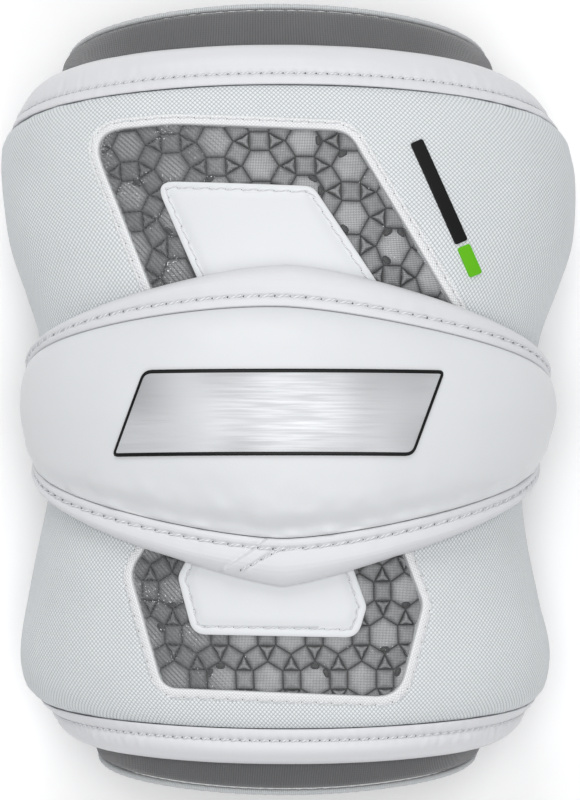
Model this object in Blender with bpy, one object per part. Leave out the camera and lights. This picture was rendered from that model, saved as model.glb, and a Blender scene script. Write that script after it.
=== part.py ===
"""Elbow pad for field sport: two padded shells on a soft liner, with a floating elbow cap.

The pad lies as it rests by itself, straps and open back down, elbow cap up.
X runs across the arm, +Y towards the upper arm and +Z out of the elbow. All sizes are in metres.

A station is a distance along the arm from the elbow, positive towards the upper arm.
An angle goes round the arm, from 0 at the front to either side.
A height is measured outwards from the outer face of the shells, so most layers have a negative one.
"""

import math

import bmesh
import bpy
from mathutils import Vector

# Arm section, at its widest place
HALF_WIDTH = 0.0925
HALF_DEPTH = 0.0600
SQUARENESS = 2.25

# Lengths along the arm
UPPER_SEAM = 0.0887
LOWER_SEAM = 0.1014
UPPER_BAND_REACH = 0.0145
LOWER_BAND_REACH = 0.0118
UPPER_LINER_REACH = 0.0138
LOWER_LINER_REACH = 0.0090
BEND_REACH = 0.0450
UPPER_LEAN = math.radians(8.5)
LOWER_LEAN = math.radians(6.5)

# Layers
SHELL_THICKNESS = 0.0090
LINER_THICKNESS = 0.0050
LAYER_GAP = 0.0006
SEAM_GAP = 0.0004
INSERT_RECESS = 0.0020
PATCH_THICKNESS = 0.0014
TRIM_RADIUS = 0.0010

# Wings, the parts of the shells that reach round the back
WING_ANGLE = math.radians(120)
WING_ROUNDING = math.radians(7)
WING_NOTCH = 0.0260
WING_TAPER = 0.0080
TAPER_START = math.radians(80)
CUFF_ARCH = 0.0030
LINER_OVERHANG = math.radians(4)
LINER_ARCH = 0.0085

# Gap between the shells, which lets the elbow bend
ELBOW_STATION = -0.0085
ELBOW_GAP = 0.0140

# Elbow cap
CAP_GAP = 0.0013
PANEL_CROWN = 0.0150
RIM_THICKNESS = 0.0055
RIM_DIP = 0.0022
DIP_ANGLE = math.radians(34)

# Outline of the cap's panel: station and half angle of its ends, how far it reaches up and down
# the arm, how square each half is, and how much the upper half is skewed towards the left
PANEL_STATION = -0.0061
PANEL_HALF_ANGLE = math.radians(102)
PANEL_UPPER_REACH = 0.0267
PANEL_LOWER_REACH = 0.0345
PANEL_UPPER_SQUARENESS = 1.65
PANEL_LOWER_SQUARENESS = 1.57
PANEL_SKEW = 0.175

# Outline of the cap's rim, in the same way
RIM_STATION = -0.0078
RIM_HALF_ANGLE = math.radians(106)
RIM_UPPER_REACH = 0.0402
RIM_LOWER_REACH = 0.0459
RIM_UPPER_SQUARENESS = 1.50
RIM_LOWER_SQUARENESS = 1.40
RIM_SKEW = 0.079

# Plain silver badge on the cap, and the raised bar on the upper shell
BADGE_HALF_LENGTH = 0.0520
BADGE_HALF_HEIGHT = 0.0135
BADGE_SLANT = 0.0100
BADGE_ACROSS = -0.0030
BADGE_ALONG = -0.0080
BADGE_LARGE_RADIUS = 0.0040
BADGE_SMALL_RADIUS = 0.0015
RAISED_THICKNESS = 0.0008
BAR_WIDTH = 0.0042
BAR_LENGTH = 0.0350
TIP_LENGTH = 0.0100
BAR_SPACE = 0.0012
BAR_CORNER_SHARE = 0.2

# Straps across the open back
STRAP_THICKNESS = 0.0015
STRAP_WIDTH = 0.0340
UPPER_STRAP_STATION = 0.0560
LOWER_STRAP_STATION = -0.0640
STRAP_TOP_ANGLE = math.radians(101)
STRAP_LEAVE_ANGLE = math.radians(108.75)
STRAP_MIDDLE_SHARE = 0.4
SLOPE_STEP = math.radians(2)
FLOOR_GAP = 0.0004

# Mesh steps
ANGLE_STEP = math.radians(8)
OUTLINE_POINTS = 40
CORNER_STEPS = 5
SMALLEST_RADIUS = 0.0002
SHARPEST_TURN = 0.2

# Sections along the arm: station as a share of the nearer seam's, width and depth as shares of
# HALF_WIDTH and HALF_DEPTH, and how far the section lies to the right as a share of HALF_WIDTH.
# The pad is waisted at the elbow, draws in at both cuffs and is slightly crooked, as sewn pads are.
SECTION_COLUMNS = ("station", "width", "depth", "shift")
SECTIONS = (
    (-1.26, 0.780, 0.825, -0.015),
    (-1.10, 0.780, 0.860, 0.002),
    (-1.05, 0.794, 0.874, 0.004),
    (-1.00, 0.830, 0.888, 0.002),
    (-0.95, 0.882, 0.896, -0.003),
    (-0.90, 0.914, 0.902, -0.006),
    (-0.80, 0.926, 0.910, -0.010),
    (-0.64, 0.892, 0.915, -0.016),
    (-0.47, 0.853, 0.922, -0.019),
    (-0.31, 0.826, 0.932, -0.013),
    (-0.10, 0.820, 0.945, 0.000),
    (0.22, 0.878, 0.958, 0.006),
    (0.37, 0.925, 0.972, 0.010),
    (0.56, 0.984, 0.990, 0.010),
    (0.80, 1.005, 1.000, 0.000),
    (0.92, 0.990, 0.996, -0.009),
    (1.00, 0.947, 0.985, -0.015),
    (1.06, 0.908, 0.970, -0.021),
    (1.15, 0.876, 0.950, -0.034),
    (1.36, 0.828, 0.895, -0.040),
)

# Closed profiles along the arm. Share runs from the elbow side to the cuff side, and depth is
# a share of the layer's thickness, 0 at its outer face and 1 at its inner face.
PROFILE_COLUMNS = ("share", "depth")
SHELL_OUTER = (
    (0.000, 0.50),
    (0.020, 0.16),
    (0.070, 0.02),
    (0.200, 0.00),
    (0.340, 0.00),
    (0.480, 0.00),
    (0.620, 0.00),
    (0.750, 0.00),
    (0.870, 0.00),
    (0.965, 0.02),
    (1.000, 0.22),
)
BAND_PROFILE = (
    (0.00, 0.06),
    (0.26, 0.10),
    (0.50, 0.03),
    (0.72, 0.10),
    (0.90, 0.30),
    (1.00, 0.58),
    (0.94, 0.85),
    (0.76, 1.00),
    (0.38, 1.00),
    (0.00, 1.00),
)
LINER_OUTER = (
    (0.000, 0.50),
    (0.010, 0.14),
    (0.035, 0.00),
    (0.062, 0.00),
    (0.090, 0.00),
    (0.120, 0.00),
    (0.155, 0.00),
    (0.205, 0.00),
    (0.260, 0.00),
    (0.325, 0.00),
    (0.410, 0.00),
    (0.520, 0.00),
    (0.630, 0.00),
    (0.730, 0.00),
    (0.815, 0.00),
    (0.875, 0.00),
    (0.905, 0.00),
    (0.940, 0.00),
    (0.970, 0.00),
    (0.990, 0.14),
    (1.000, 0.50),
)

# Cap profiles: height as a share of the panel's crown or the rim's thickness
CROWN_COLUMNS = ("ring", "height")
PANEL_CROWN_RINGS = (
    (0.12, 1.000),
    (0.26, 0.975),
    (0.40, 0.935),
    (0.53, 0.880),
    (0.65, 0.810),
    (0.76, 0.720),
    (0.85, 0.620),
    (0.93, 0.505),
    (1.00, 0.360),
)
RIM_PROFILE = (
    (0.00, 1.00),
    (0.30, 0.90),
    (0.55, 1.06),
    (0.80, 0.90),
    (0.95, 0.62),
    (1.00, 0.34),
)

# Outlines seen from the front. Columns: across as a share of HALF_WIDTH, along as a share of the
# seam's distance from the elbow's middle, and the corner's radius as a share of HALF_WIDTH.
OUTLINE_COLUMNS = ("across", "along", "radius")
UPPER_WINDOW = (
    (-0.690, 0.853, 0.11),
    (-0.400, 0.872, 0.90),
    (0.206, 0.847, 0.10),
    (0.600, 0.225, 0.02),
    (-0.427, 0.225, 0.02),
)
UPPER_PATCH = (
    (-0.458, 0.683, 0.045),
    (0.085, 0.663, 0.055),
    (0.378, 0.245, 0.02),
    (-0.258, 0.245, 0.02),
)
LOWER_WINDOW = (
    (-0.545, 0.535, 0.10),
    (-0.430, 0.880, 0.07),
    (0.380, 0.908, 0.10),
    (0.466, 0.632, 0.08),
    (0.330, 0.330, 0.02),
    (-0.390, 0.330, 0.02),
)
LOWER_PATCH = (
    (-0.378, 0.552, 0.05),
    (-0.326, 0.722, 0.06),
    (0.238, 0.732, 0.06),
    (0.270, 0.640, 0.04),
    (0.150, 0.350, 0.02),
    (-0.260, 0.350, 0.02),
)
BAR_START = (0.437, 0.812)
BAR_DIRECTION = (0.408, -0.913)


def smooth_table(rows, position, column):
    """Value of a column at a position, on a smooth curve through the rows."""
    last = len(rows) - 1
    span = 0
    while span < last - 1 and position > rows[span + 1][0]:
        span += 1
    x0, x1 = rows[span][0], rows[span + 1][0]
    y0, y1 = rows[span][column], rows[span + 1][column]

    def slope(index):
        low = rows[max(index - 1, 0)]
        high = rows[min(index + 1, last)]
        return (high[column] - low[column]) / (high[0] - low[0])

    width = x1 - x0
    t = (position - x0) / width
    if not 0.0 <= t <= 1.0:
        return (y0 if t < 0.0 else y1) + slope(span if t < 0.0 else span + 1) * (
            position - (x0 if t < 0.0 else x1)
        )
    return (
        (2 * t**3 - 3 * t**2 + 1) * y0
        + (t**3 - 2 * t**2 + t) * width * slope(span)
        + (3 * t**2 - 2 * t**3) * y1
        + (t**3 - t**2) * width * slope(span + 1)
    )


def smooth_step(value):
    clipped = min(max(value, 0.0), 1.0)
    return clipped * clipped * (3.0 - 2.0 * clipped)


def section_size(station):
    """Half width, half depth and shift to the right of the shells' outer face at a station."""
    share = station / (UPPER_SEAM if station > 0.0 else LOWER_SEAM)
    return (
        HALF_WIDTH * smooth_table(SECTIONS, share, 1),
        HALF_DEPTH * smooth_table(SECTIONS, share, 2),
        HALF_WIDTH * smooth_table(SECTIONS, share, 3),
    )


def spine(station):
    """Where the section's middle lies along Y and Z, and how far the section leans there."""
    lean = UPPER_LEAN if station > 0.0 else LOWER_LEAN
    radius = BEND_REACH / lean
    bent = min(abs(station), BEND_REACH)
    straight = abs(station) - bent
    angle = bent / radius
    along = radius * math.sin(angle) + straight * math.cos(angle)
    drop = radius * (1.0 - math.cos(angle)) + straight * math.sin(angle)
    side = math.copysign(1.0, station)
    return side * along, -drop, side * angle


def free_point(angle, station, height):
    """A point of the pad before it is centred and set on the floor."""
    half_width, half_depth, shift = section_size(station)
    across = abs(math.sin(angle)) / half_width
    up = abs(math.cos(angle)) / half_depth
    reach = (across**SQUARENESS + up**SQUARENESS) ** (-1.0 / SQUARENESS)
    x, rise = reach * math.sin(angle), reach * math.cos(angle)
    normal = Vector(
        (
            math.copysign((abs(x) / half_width) ** (SQUARENESS - 1.0) / half_width, x),
            math.copysign((abs(rise) / half_depth) ** (SQUARENESS - 1.0) / half_depth, rise),
        )
    ).normalized()
    x += height * normal.x
    rise += height * normal.y
    along, drop, lean = spine(station)
    return Vector((x + shift, along + rise * math.sin(lean), drop + rise * math.cos(lean)))


def notch(angle):
    """How far the shells draw back from the elbow at an angle."""
    return WING_NOTCH * (abs(angle) / WING_ANGLE) ** 2.5


def taper(angle):
    """How far the shells' cuffs draw in at an angle."""
    arch = CUFF_ARCH * (angle / TAPER_START) ** 2
    return arch + WING_TAPER * smooth_step((abs(angle) - TAPER_START) / (WING_ANGLE - TAPER_START))


def upper_shell_span(angle):
    return ELBOW_STATION + ELBOW_GAP / 2 + notch(angle), UPPER_SEAM - taper(angle)


def lower_shell_span(angle):
    return ELBOW_STATION - ELBOW_GAP / 2 - notch(angle), -LOWER_SEAM + taper(angle)


def upper_band_span(angle):
    start = UPPER_SEAM - taper(angle) + SEAM_GAP
    return start, start + UPPER_BAND_REACH


def lower_band_span(angle):
    start = -LOWER_SEAM + taper(angle) - SEAM_GAP
    return start, start - LOWER_BAND_REACH


def liner_span(angle):
    arch = LINER_ARCH * (abs(angle) / math.radians(90)) ** 2
    return (
        -LOWER_SEAM - LOWER_BAND_REACH - LOWER_LINER_REACH + arch,
        UPPER_SEAM + UPPER_BAND_REACH + UPPER_LINER_REACH - arch,
    )


def angles_between(first, last):
    """Every shared angle between two limits, with both limits."""
    count = int(math.floor((last - first) / ANGLE_STEP + 1e-6))
    start = math.ceil(first / ANGLE_STEP - 1e-6)
    inner = [(start + i) * ANGLE_STEP for i in range(count + 1)]
    inner = [a for a in inner if first + ANGLE_STEP * 0.2 < a < last - ANGLE_STEP * 0.2]
    return [first, *inner, last]


LINER_ANGLE = WING_ANGLE + LINER_OVERHANG
LINER_TOP = -SHELL_THICKNESS - LAYER_GAP
SHELL_ANGLES = angles_between(-WING_ANGLE, WING_ANGLE)
LINER_ANGLES = angles_between(-LINER_ANGLE, LINER_ANGLE)


def rounded_end(angle, limit):
    """Share of a layer's half thickness that is left near the limit, for a rounded rear edge."""
    inside = max(0.0, 1.0 - (limit - abs(angle)) / WING_ROUNDING)
    return math.sqrt(max(0.0, 1.0 - 0.88 * inside**2))


def resting_offset():
    """The move that centres the pad along Y and sets its lowest wing just over the floor."""
    ends = [
        free_point(0.0, liner_span(0.0)[side], LINER_TOP - LINER_THICKNESS * share).y
        + reach
        for side, reach in ((0, -2 * TRIM_RADIUS), (1, 2 * TRIM_RADIUS))
        for share in (0.0, 0.5)
    ]
    lowest = min(
        free_point(limit, station, height).z
        for limit, span, height in (
            (WING_ANGLE, upper_shell_span, -SHELL_THICKNESS / 2),
            (WING_ANGLE, upper_shell_span, 0.0),
            (WING_ANGLE, lower_shell_span, 0.0),
            (WING_ANGLE, upper_band_span, 0.0),
            (WING_ANGLE, lower_band_span, 0.0),
            (LINER_ANGLE, liner_span, LINER_TOP),
        )
        for station in span(limit)
    )
    return -(min(ends) + max(ends)) / 2, FLOOR_GAP - lowest


CENTRE_Y, BASE_HEIGHT = resting_offset()


def pad_point(angle, station, height):
    point = free_point(angle, station, height)
    return Vector((point.x, point.y + CENTRE_Y, point.z + BASE_HEIGHT))


def material(name, colour, roughness, metallic=0.0):
    made = bpy.data.materials.new(name)
    made.use_nodes = True
    shader = made.node_tree.nodes["Principled BSDF"]
    shader.inputs["Base Color"].default_value = (*colour, 1.0)
    shader.inputs["Roughness"].default_value = roughness
    shader.inputs["Metallic"].default_value = metallic
    made.diffuse_color = (*colour, 1.0)
    return made


def finish(name, mesh_data, finish_material):
    """Makes the object of a finished bmesh, with its faces outwards."""
    bmesh.ops.recalc_face_normals(mesh_data, faces=mesh_data.faces)
    if mesh_data.calc_volume(signed=True) < 0.0:
        bmesh.ops.reverse_faces(mesh_data, faces=mesh_data.faces)
    mesh = bpy.data.meshes.new(name)
    mesh_data.to_mesh(mesh)
    mesh_data.free()
    mesh.shade_smooth()
    mesh.set_sharp_from_angle(angle=math.radians(35))
    made = bpy.data.objects.new(name, mesh)
    bpy.context.scene.collection.objects.link(made)
    if finish_material:
        made.data.materials.append(finish_material)
    return made


def sweep(name, profile, count, place, finish_material, closed=False):
    """Carries a closed profile through count steps. place(step, first, second) puts each corner."""
    shape = bmesh.new()
    corners = [shape.verts.new((0.0, first, second)) for first, second in profile]
    start = shape.faces.new(corners)
    end = start
    for _ in range(count if closed else count - 1):
        made = bmesh.ops.extrude_face_region(shape, geom=[end, *end.edges])
        moved = [item for item in made["geom"] if isinstance(item, bmesh.types.BMVert)]
        bmesh.ops.translate(shape, verts=moved, vec=(1.0, 0.0, 0.0))
        end = next(item for item in made["geom"] if isinstance(item, bmesh.types.BMFace))
    if closed:
        bmesh.ops.delete(shape, geom=[start, end], context="FACES_ONLY")
    for corner in shape.verts:
        step = int(round(corner.co.x)) % count
        corner.co = place(step, corner.co.y, corner.co.z)
    if closed:
        bmesh.ops.remove_doubles(shape, verts=shape.verts, dist=1e-6)
    return finish(name, shape, finish_material)


def closed_layer(outer, every=1):
    """The closed profile of a layer. Its inner face keeps every so many of the outer's corners."""
    flat = [share for share, depth in outer if depth <= 0.2]
    inner = [*flat[:-1:every], flat[-1]]
    return [*outer, *((share, 1.0) for share in reversed(inner))]


def wrapped_layer(name, profile, span, angles, top, thickness, finish_material):
    """A layer that goes round the arm, between the stations that span gives at each angle."""
    limit = angles[-1]

    def place(step, share, depth):
        angle = angles[step]
        start, end = span(angle)
        middle = 0.5 + (depth - 0.5) * rounded_end(angle, limit)
        return pad_point(angle, start + share * (end - start), top - thickness * middle)

    return sweep(name, profile, len(angles), place, finish_material)


def mirrored(rows, seam):
    """Real corners of an outline table. Seam is the signed distance that its shares are of."""
    return [
        (across * HALF_WIDTH, ELBOW_Y + along * seam, radius * HALF_WIDTH)
        for across, along, radius in rows
    ]


def inset(corners, distance):
    """The corners of a closed outline moved inwards by a distance, with smaller radii."""
    count = len(corners)
    area = sum(
        corners[i][0] * corners[(i + 1) % count][1] - corners[(i + 1) % count][0] * corners[i][1]
        for i in range(count)
    )
    turn = math.copysign(1.0, area)
    moved = []
    for i in range(count):
        before, here, after = (Vector(corners[j % count][:2]) for j in (i - 1, i, i + 1))
        first, second = (here - before).normalized(), (after - here).normalized()
        first_in = Vector((-first.y, first.x)) * turn
        second_in = Vector((-second.y, second.x)) * turn
        middle = first_in + second_in
        reach = distance / max(middle.normalized().dot(first_in), SHARPEST_TURN)
        point = here + middle.normalized() * reach
        moved.append((point.x, point.y, max(corners[i][2] - distance, SMALLEST_RADIUS)))
    return moved


def rounded(corners):
    """Points of a closed outline whose corners are arcs, as far as its sides leave room."""
    points = []
    count = len(corners)
    for i in range(count):
        before, here, after = (Vector(corners[j % count][:2]) for j in (i - 1, i, i + 1))
        back, ahead = before - here, after - here
        half = back.angle(ahead) / 2
        room = 0.45 * min(back.length, ahead.length)
        reach = min(corners[i][2] / math.tan(half), room)
        start = here + back.normalized() * reach
        end = here + ahead.normalized() * reach
        for step in range(CORNER_STEPS + 1):
            t = step / CORNER_STEPS
            points.append(start * (1 - t) ** 2 + here * 2 * t * (1 - t) + end * t**2)
    return points


def cutter(name, points):
    """An upright prism through the front of the pad, over an outline seen from the front."""
    low, high = BASE_HEIGHT, BASE_HEIGHT + HALF_DEPTH * 2
    shape = bmesh.new()
    base = shape.faces.new([shape.verts.new((p.x, p.y, low)) for p in points])
    made = bmesh.ops.extrude_face_region(shape, geom=[base], use_keep_orig=True)
    moved = [item for item in made["geom"] if isinstance(item, bmesh.types.BMVert)]
    bmesh.ops.translate(shape, verts=moved, vec=(0.0, 0.0, high - low))
    made = finish(name, shape, None)
    made.hide_render = True
    made.display_type = "WIRE"
    return made


def cut(target, tool, operation):
    modifier = target.modifiers.new(operation.lower(), "BOOLEAN")
    modifier.operation = operation
    modifier.object = tool
    modifier.solver = "EXACT"


def front_sheet(name, low, high, stations, angles, finish_material):
    """A sheet over the front of a shell, before it is cut to its outline."""
    last = len(stations) - 1
    profile = [(i, high) for i in range(last + 1)] + [(i, low) for i in range(last, -1, -1)]

    def place(step, index, height):
        return pad_point(angles[step], stations[int(round(index))], height)

    return sweep(name, profile, len(angles), place, finish_material)


def even(first, last, count):
    return [first + (last - first) * i / (count - 1) for i in range(count)]


FRONT_ANGLES = angles_between(-ANGLE_STEP * 9, ANGLE_STEP * 9)
ELBOW_Y = CENTRE_Y


def front_y(station):
    """Y of the shells' outer face on the front line, counted from the elbow."""
    return pad_point(0.0, station, 0.0).y - ELBOW_Y


def window(side, shell, seam_station, window_rows, patch_rows, inner_station, cells, leather):
    """Opens a shell's window, and fills it with the cell insert and its centre patch."""
    seam = front_y(seam_station)
    outline = mirrored(window_rows, seam)
    opening = cutter(f"{side}_window_cutter", rounded(outline))
    cut(shell, opening, "DIFFERENCE")
    stations = even(inner_station, seam_station * 0.97, 7)
    insert_top = -INSERT_RECESS
    insert = front_sheet(
        f"{side}_cell_insert", -SHELL_THICKNESS, insert_top, stations, FRONT_ANGLES, cells
    )
    fitted = cutter(f"{side}_insert_cutter", rounded(inset(outline, SEAM_GAP)))
    cut(insert, fitted, "INTERSECT")
    patch_low = insert_top + SEAM_GAP
    patch = front_sheet(
        f"{side}_centre_patch",
        patch_low,
        patch_low + PATCH_THICKNESS,
        stations,
        FRONT_ANGLES,
        leather,
    )
    patch_cutter = cutter(f"{side}_patch_cutter", rounded(mirrored(patch_rows, seam)))
    cut(patch, patch_cutter, "INTERSECT")


PANEL_OUTLINE = (
    PANEL_STATION,
    PANEL_HALF_ANGLE,
    (PANEL_UPPER_REACH, PANEL_UPPER_SQUARENESS, PANEL_SKEW),
    (PANEL_LOWER_REACH, PANEL_LOWER_SQUARENESS, 0.0),
)
RIM_OUTLINE = (
    RIM_STATION,
    RIM_HALF_ANGLE,
    (RIM_UPPER_REACH, RIM_UPPER_SQUARENESS, RIM_SKEW),
    (RIM_LOWER_REACH, RIM_LOWER_SQUARENESS, 0.0),
)


def cap_outline(outline, turn, widening=0.0):
    """Angle and station of a point of a cap outline."""
    station, half_angle, upper, lower = outline
    across, along = math.cos(turn), math.sin(turn)
    half_height, squareness, skew = upper if along > 0.0 else lower
    reach = (abs(across) ** squareness + abs(along) ** squareness) ** (-1.0 / squareness)
    half_angle += widening / HALF_WIDTH
    half_height = half_height * (1.0 - skew * reach * across) + widening
    return reach * across * half_angle, station + reach * along * half_height


def panel_place(turn, ring, height):
    angle, station = cap_outline(PANEL_OUTLINE, turn)
    middle = PANEL_OUTLINE[0]
    return pad_point(angle * ring, middle + (station - middle) * ring, height)


def rim_place(turn, share, height):
    """A point of the rim, from the panel's seam at share 0 to the cap's edge at share 1."""
    inner = cap_outline(PANEL_OUTLINE, turn, widening=SEAM_GAP)
    outer = cap_outline(RIM_OUTLINE, turn)
    angle, station = (a + (b - a) * share for a, b in zip(inner, outer))
    if turn > math.pi:
        station -= share * RIM_DIP * max(0.0, 1.0 - abs(angle) / DIP_ANGLE)
    return pad_point(angle, station, height)


def crown_sheet(name, rows, low, high, finish_material):
    """A closed sheet over the cap's rings. low and high give its two heights at a row."""
    shape = bmesh.new()
    turns = [2 * math.pi * i / OUTLINE_POINTS for i in range(OUTLINE_POINTS)]
    faces_of = {}
    for level, height in (("low", low), ("high", high)):
        middle = shape.verts.new(panel_place(0.0, 0.0, height(rows[0])))
        inner = None
        for row in rows:
            ring = [shape.verts.new(panel_place(t, row[0], height(row))) for t in turns]
            for i in range(OUTLINE_POINTS):
                j = (i + 1) % OUTLINE_POINTS
                if inner is None:
                    shape.faces.new((middle, ring[i], ring[j]))
                else:
                    shape.faces.new((inner[i], ring[i], ring[j], inner[j]))
            inner = ring
        faces_of[level] = inner
    edges = [
        shape.edges.get((ring[i], ring[(i + 1) % OUTLINE_POINTS]))
        for ring in faces_of.values()
        for i in range(OUTLINE_POINTS)
    ]
    bmesh.ops.bridge_loops(shape, edges=edges)
    return finish(name, shape, finish_material)


def cap(leather, silver):
    """The puffed panel, the rim band round it and the plain badge."""

    def crown(row):
        return PANEL_CROWN * row[1]

    crown_sheet("cap_panel", PANEL_CROWN_RINGS, lambda row: CAP_GAP, crown, leather)
    profile = [(share, RIM_THICKNESS * height) for share, height in RIM_PROFILE]
    profile += [(0.96, CAP_GAP), (0.50, CAP_GAP), (0.00, CAP_GAP)]

    def place(step, share, height):
        return rim_place(2 * math.pi * step / OUTLINE_POINTS, share, height)

    sweep("cap_rim", profile, OUTLINE_POINTS, place, leather, closed=True)
    badge = crown_sheet(
        "cap_badge",
        PANEL_CROWN_RINGS[:-2],
        lambda row: crown(row) + LAYER_GAP,
        lambda row: crown(row) + LAYER_GAP + RAISED_THICKNESS,
        silver,
    )
    length, height, slant = BADGE_HALF_LENGTH, BADGE_HALF_HEIGHT, BADGE_SLANT
    corners = [
        (-length + slant, height, BADGE_LARGE_RADIUS),
        (length, height, BADGE_SMALL_RADIUS),
        (length - slant, -height, BADGE_LARGE_RADIUS),
        (-length, -height, BADGE_SMALL_RADIUS),
    ]
    centred = [
        (x + BADGE_ACROSS, y + BADGE_ALONG + ELBOW_Y, radius) for x, y, radius in corners
    ]
    cut(badge, cutter("badge_cutter", rounded(centred)), "INTERSECT")


def raised_bar(name, start, length, stations, finish_material):
    """A short raised bar on the upper shell, along the window's slanted side."""
    seam = front_y(UPPER_SEAM)
    origin = Vector((BAR_START[0] * HALF_WIDTH, ELBOW_Y + BAR_START[1] * seam))
    direction = Vector(BAR_DIRECTION).normalized()
    side = Vector((-direction.y, direction.x)) * BAR_WIDTH / 2
    near, far = origin + direction * start, origin + direction * (start + length)
    corners = [
        (point.x, point.y, BAR_WIDTH * BAR_CORNER_SHARE)
        for point in (near - side, far - side, far + side, near + side)
    ]
    bar = front_sheet(
        name, LAYER_GAP, LAYER_GAP + RAISED_THICKNESS, stations, FRONT_ANGLES[9:], finish_material
    )
    cut(bar, cutter(f"{name}_cutter", rounded(corners)), "INTERSECT")


def strap_route(station, side):
    """The strap's middle line for one of its threads: on the wing, then down and across the floor.

    It goes from the middle of the back to its end on the wing of that side, 1.0 or -1.0.
    """
    middle = STRAP_THICKNESS / 2
    height = LAYER_GAP + middle

    def on_wing(angle, over=height):
        return pad_point(side * angle, station, over)

    leave = on_wing(STRAP_LEAVE_ANGLE)
    slope = (on_wing(STRAP_LEAVE_ANGLE + SLOPE_STEP) - leave).normalized()
    rear = on_wing(WING_ANGLE, 0.0)
    flat_y = on_wing(WING_ANGLE, -SHELL_THICKNESS).y
    landing = Vector((rear.x - side * SHELL_THICKNESS / 2, flat_y, middle))
    pull = (leave - landing).length
    route = [Vector((landing.x * share, flat_y, middle)) for share in (0.0, 0.5)]
    for step in range(6):
        t = step / 5
        route.append(
            landing * (2 * t**3 - 3 * t**2 + 1)
            + Vector((side * pull, 0.0, 0.0)) * (t**3 - 2 * t**2 + t)
            + leave * (3 * t**2 - 2 * t**3)
            - slope * pull * (t**3 - t**2)
        )
    span = STRAP_LEAVE_ANGLE - STRAP_TOP_ANGLE
    route += [on_wing(STRAP_LEAVE_ANGLE - span * share) for share in (STRAP_MIDDLE_SHARE, 1.0)]
    return route


def strap(name, middle_station, webbing):
    """A flat strap that lies on the floor and hugs both wings."""
    stations = even(middle_station - STRAP_WIDTH / 2, middle_station + STRAP_WIDTH / 2, 5)
    routes = []
    for station in stations:
        left, right = (strap_route(station, side) for side in (-1.0, 1.0))
        routes.append([*reversed(left[1:]), *right])
    count = len(routes[0])

    def way_out(route, step):
        low, high = route[max(step - 1, 0)], route[min(step + 1, count - 1)]
        return Vector((high.z - low.z, 0.0, low.x - high.x)).normalized()

    profile = [(i, 0.5) for i in range(len(stations))]
    profile += [(i, -0.5) for i in reversed(range(len(stations)))]

    def place(step, index, share):
        route = routes[int(round(index))]
        return route[step] + way_out(route, step) * STRAP_THICKNESS * share

    return sweep(name, profile, count, place, webbing)


def trim(name, side, tape):
    """A thin piping along one end of the liner."""
    sign = -1.0 if side == 0 else 1.0
    angles = LINER_ANGLES
    corners = [(1.0, 0.0), (0.0, 1.0), (-1.0, 0.0), (0.0, -1.0)]

    def place(step, outward, along):
        angle = angles[step]
        station = liner_span(angle)[side] + sign * (SEAM_GAP + TRIM_RADIUS)
        return pad_point(
            angle,
            station + TRIM_RADIUS * along,
            LINER_TOP - LINER_THICKNESS / 2 + TRIM_RADIUS * outward,
        )

    return sweep(name, corners, len(angles), place, tape)


def build():
    for old in list(bpy.data.objects):
        bpy.data.objects.remove(old)
    woven = material("white_woven_nylon", (0.80, 0.83, 0.85), 0.62)
    leather = material("white_smooth_leather", (0.86, 0.87, 0.89), 0.42)
    knit = material("grey_knit", (0.125, 0.128, 0.132), 0.85)
    tape = material("light_grey_tape", (0.45, 0.46, 0.47), 0.70)
    cells = material("grey_cell_foam", (0.21, 0.21, 0.22), 0.50)
    silver = material("silver_badge", (0.60, 0.61, 0.63), 0.30, metallic=0.7)
    black = material("black_bar", (0.010, 0.010, 0.011), 0.40)
    green = material("green_tip", (0.18, 0.55, 0.01), 0.40)
    webbing = material("white_webbing", (0.74, 0.75, 0.77), 0.75)

    shell_profile = closed_layer(SHELL_OUTER)
    layer = (SHELL_ANGLES, 0.0, SHELL_THICKNESS)
    upper = wrapped_layer("upper_shell", shell_profile, upper_shell_span, *layer, woven)
    lower = wrapped_layer("lower_shell", shell_profile, lower_shell_span, *layer, woven)
    wrapped_layer("upper_edge_band", BAND_PROFILE, upper_band_span, *layer, leather)
    wrapped_layer("lower_edge_band", BAND_PROFILE, lower_band_span, *layer, leather)
    wrapped_layer(
        "liner",
        closed_layer(LINER_OUTER, every=2),
        liner_span,
        LINER_ANGLES,
        LINER_TOP,
        LINER_THICKNESS,
        knit,
    )
    trim("liner_trim_lower", 0, tape)
    trim("liner_trim_upper", 1, tape)

    upper_inner = upper_shell_span(0.0)[0]
    lower_inner = lower_shell_span(0.0)[0]
    window("upper", upper, UPPER_SEAM, UPPER_WINDOW, UPPER_PATCH, upper_inner, cells, leather)
    window("lower", lower, -LOWER_SEAM, LOWER_WINDOW, LOWER_PATCH, lower_inner, cells, leather)

    cap(leather, silver)
    bar_stations = even(upper_inner, UPPER_SEAM * 0.95, 9)
    raised_bar("side_bar", 0.0, BAR_LENGTH, bar_stations, black)
    raised_bar("side_bar_tip", BAR_LENGTH + BAR_SPACE, TIP_LENGTH, bar_stations, green)

    strap("upper_strap", UPPER_STRAP_STATION, webbing)
    strap("lower_strap", LOWER_STRAP_STATION, webbing)


build()
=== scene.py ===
"""Looks of a padded elbow guard for field sport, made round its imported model.

Every soft piece is cut and sewn on a flat pattern and then wrapped round the arm. A flat point
has three numbers: the distance round the arm from the front, the station along the arm from the
elbow, and the height over the shells' outer face. All sizes are in metres.
"""

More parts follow.
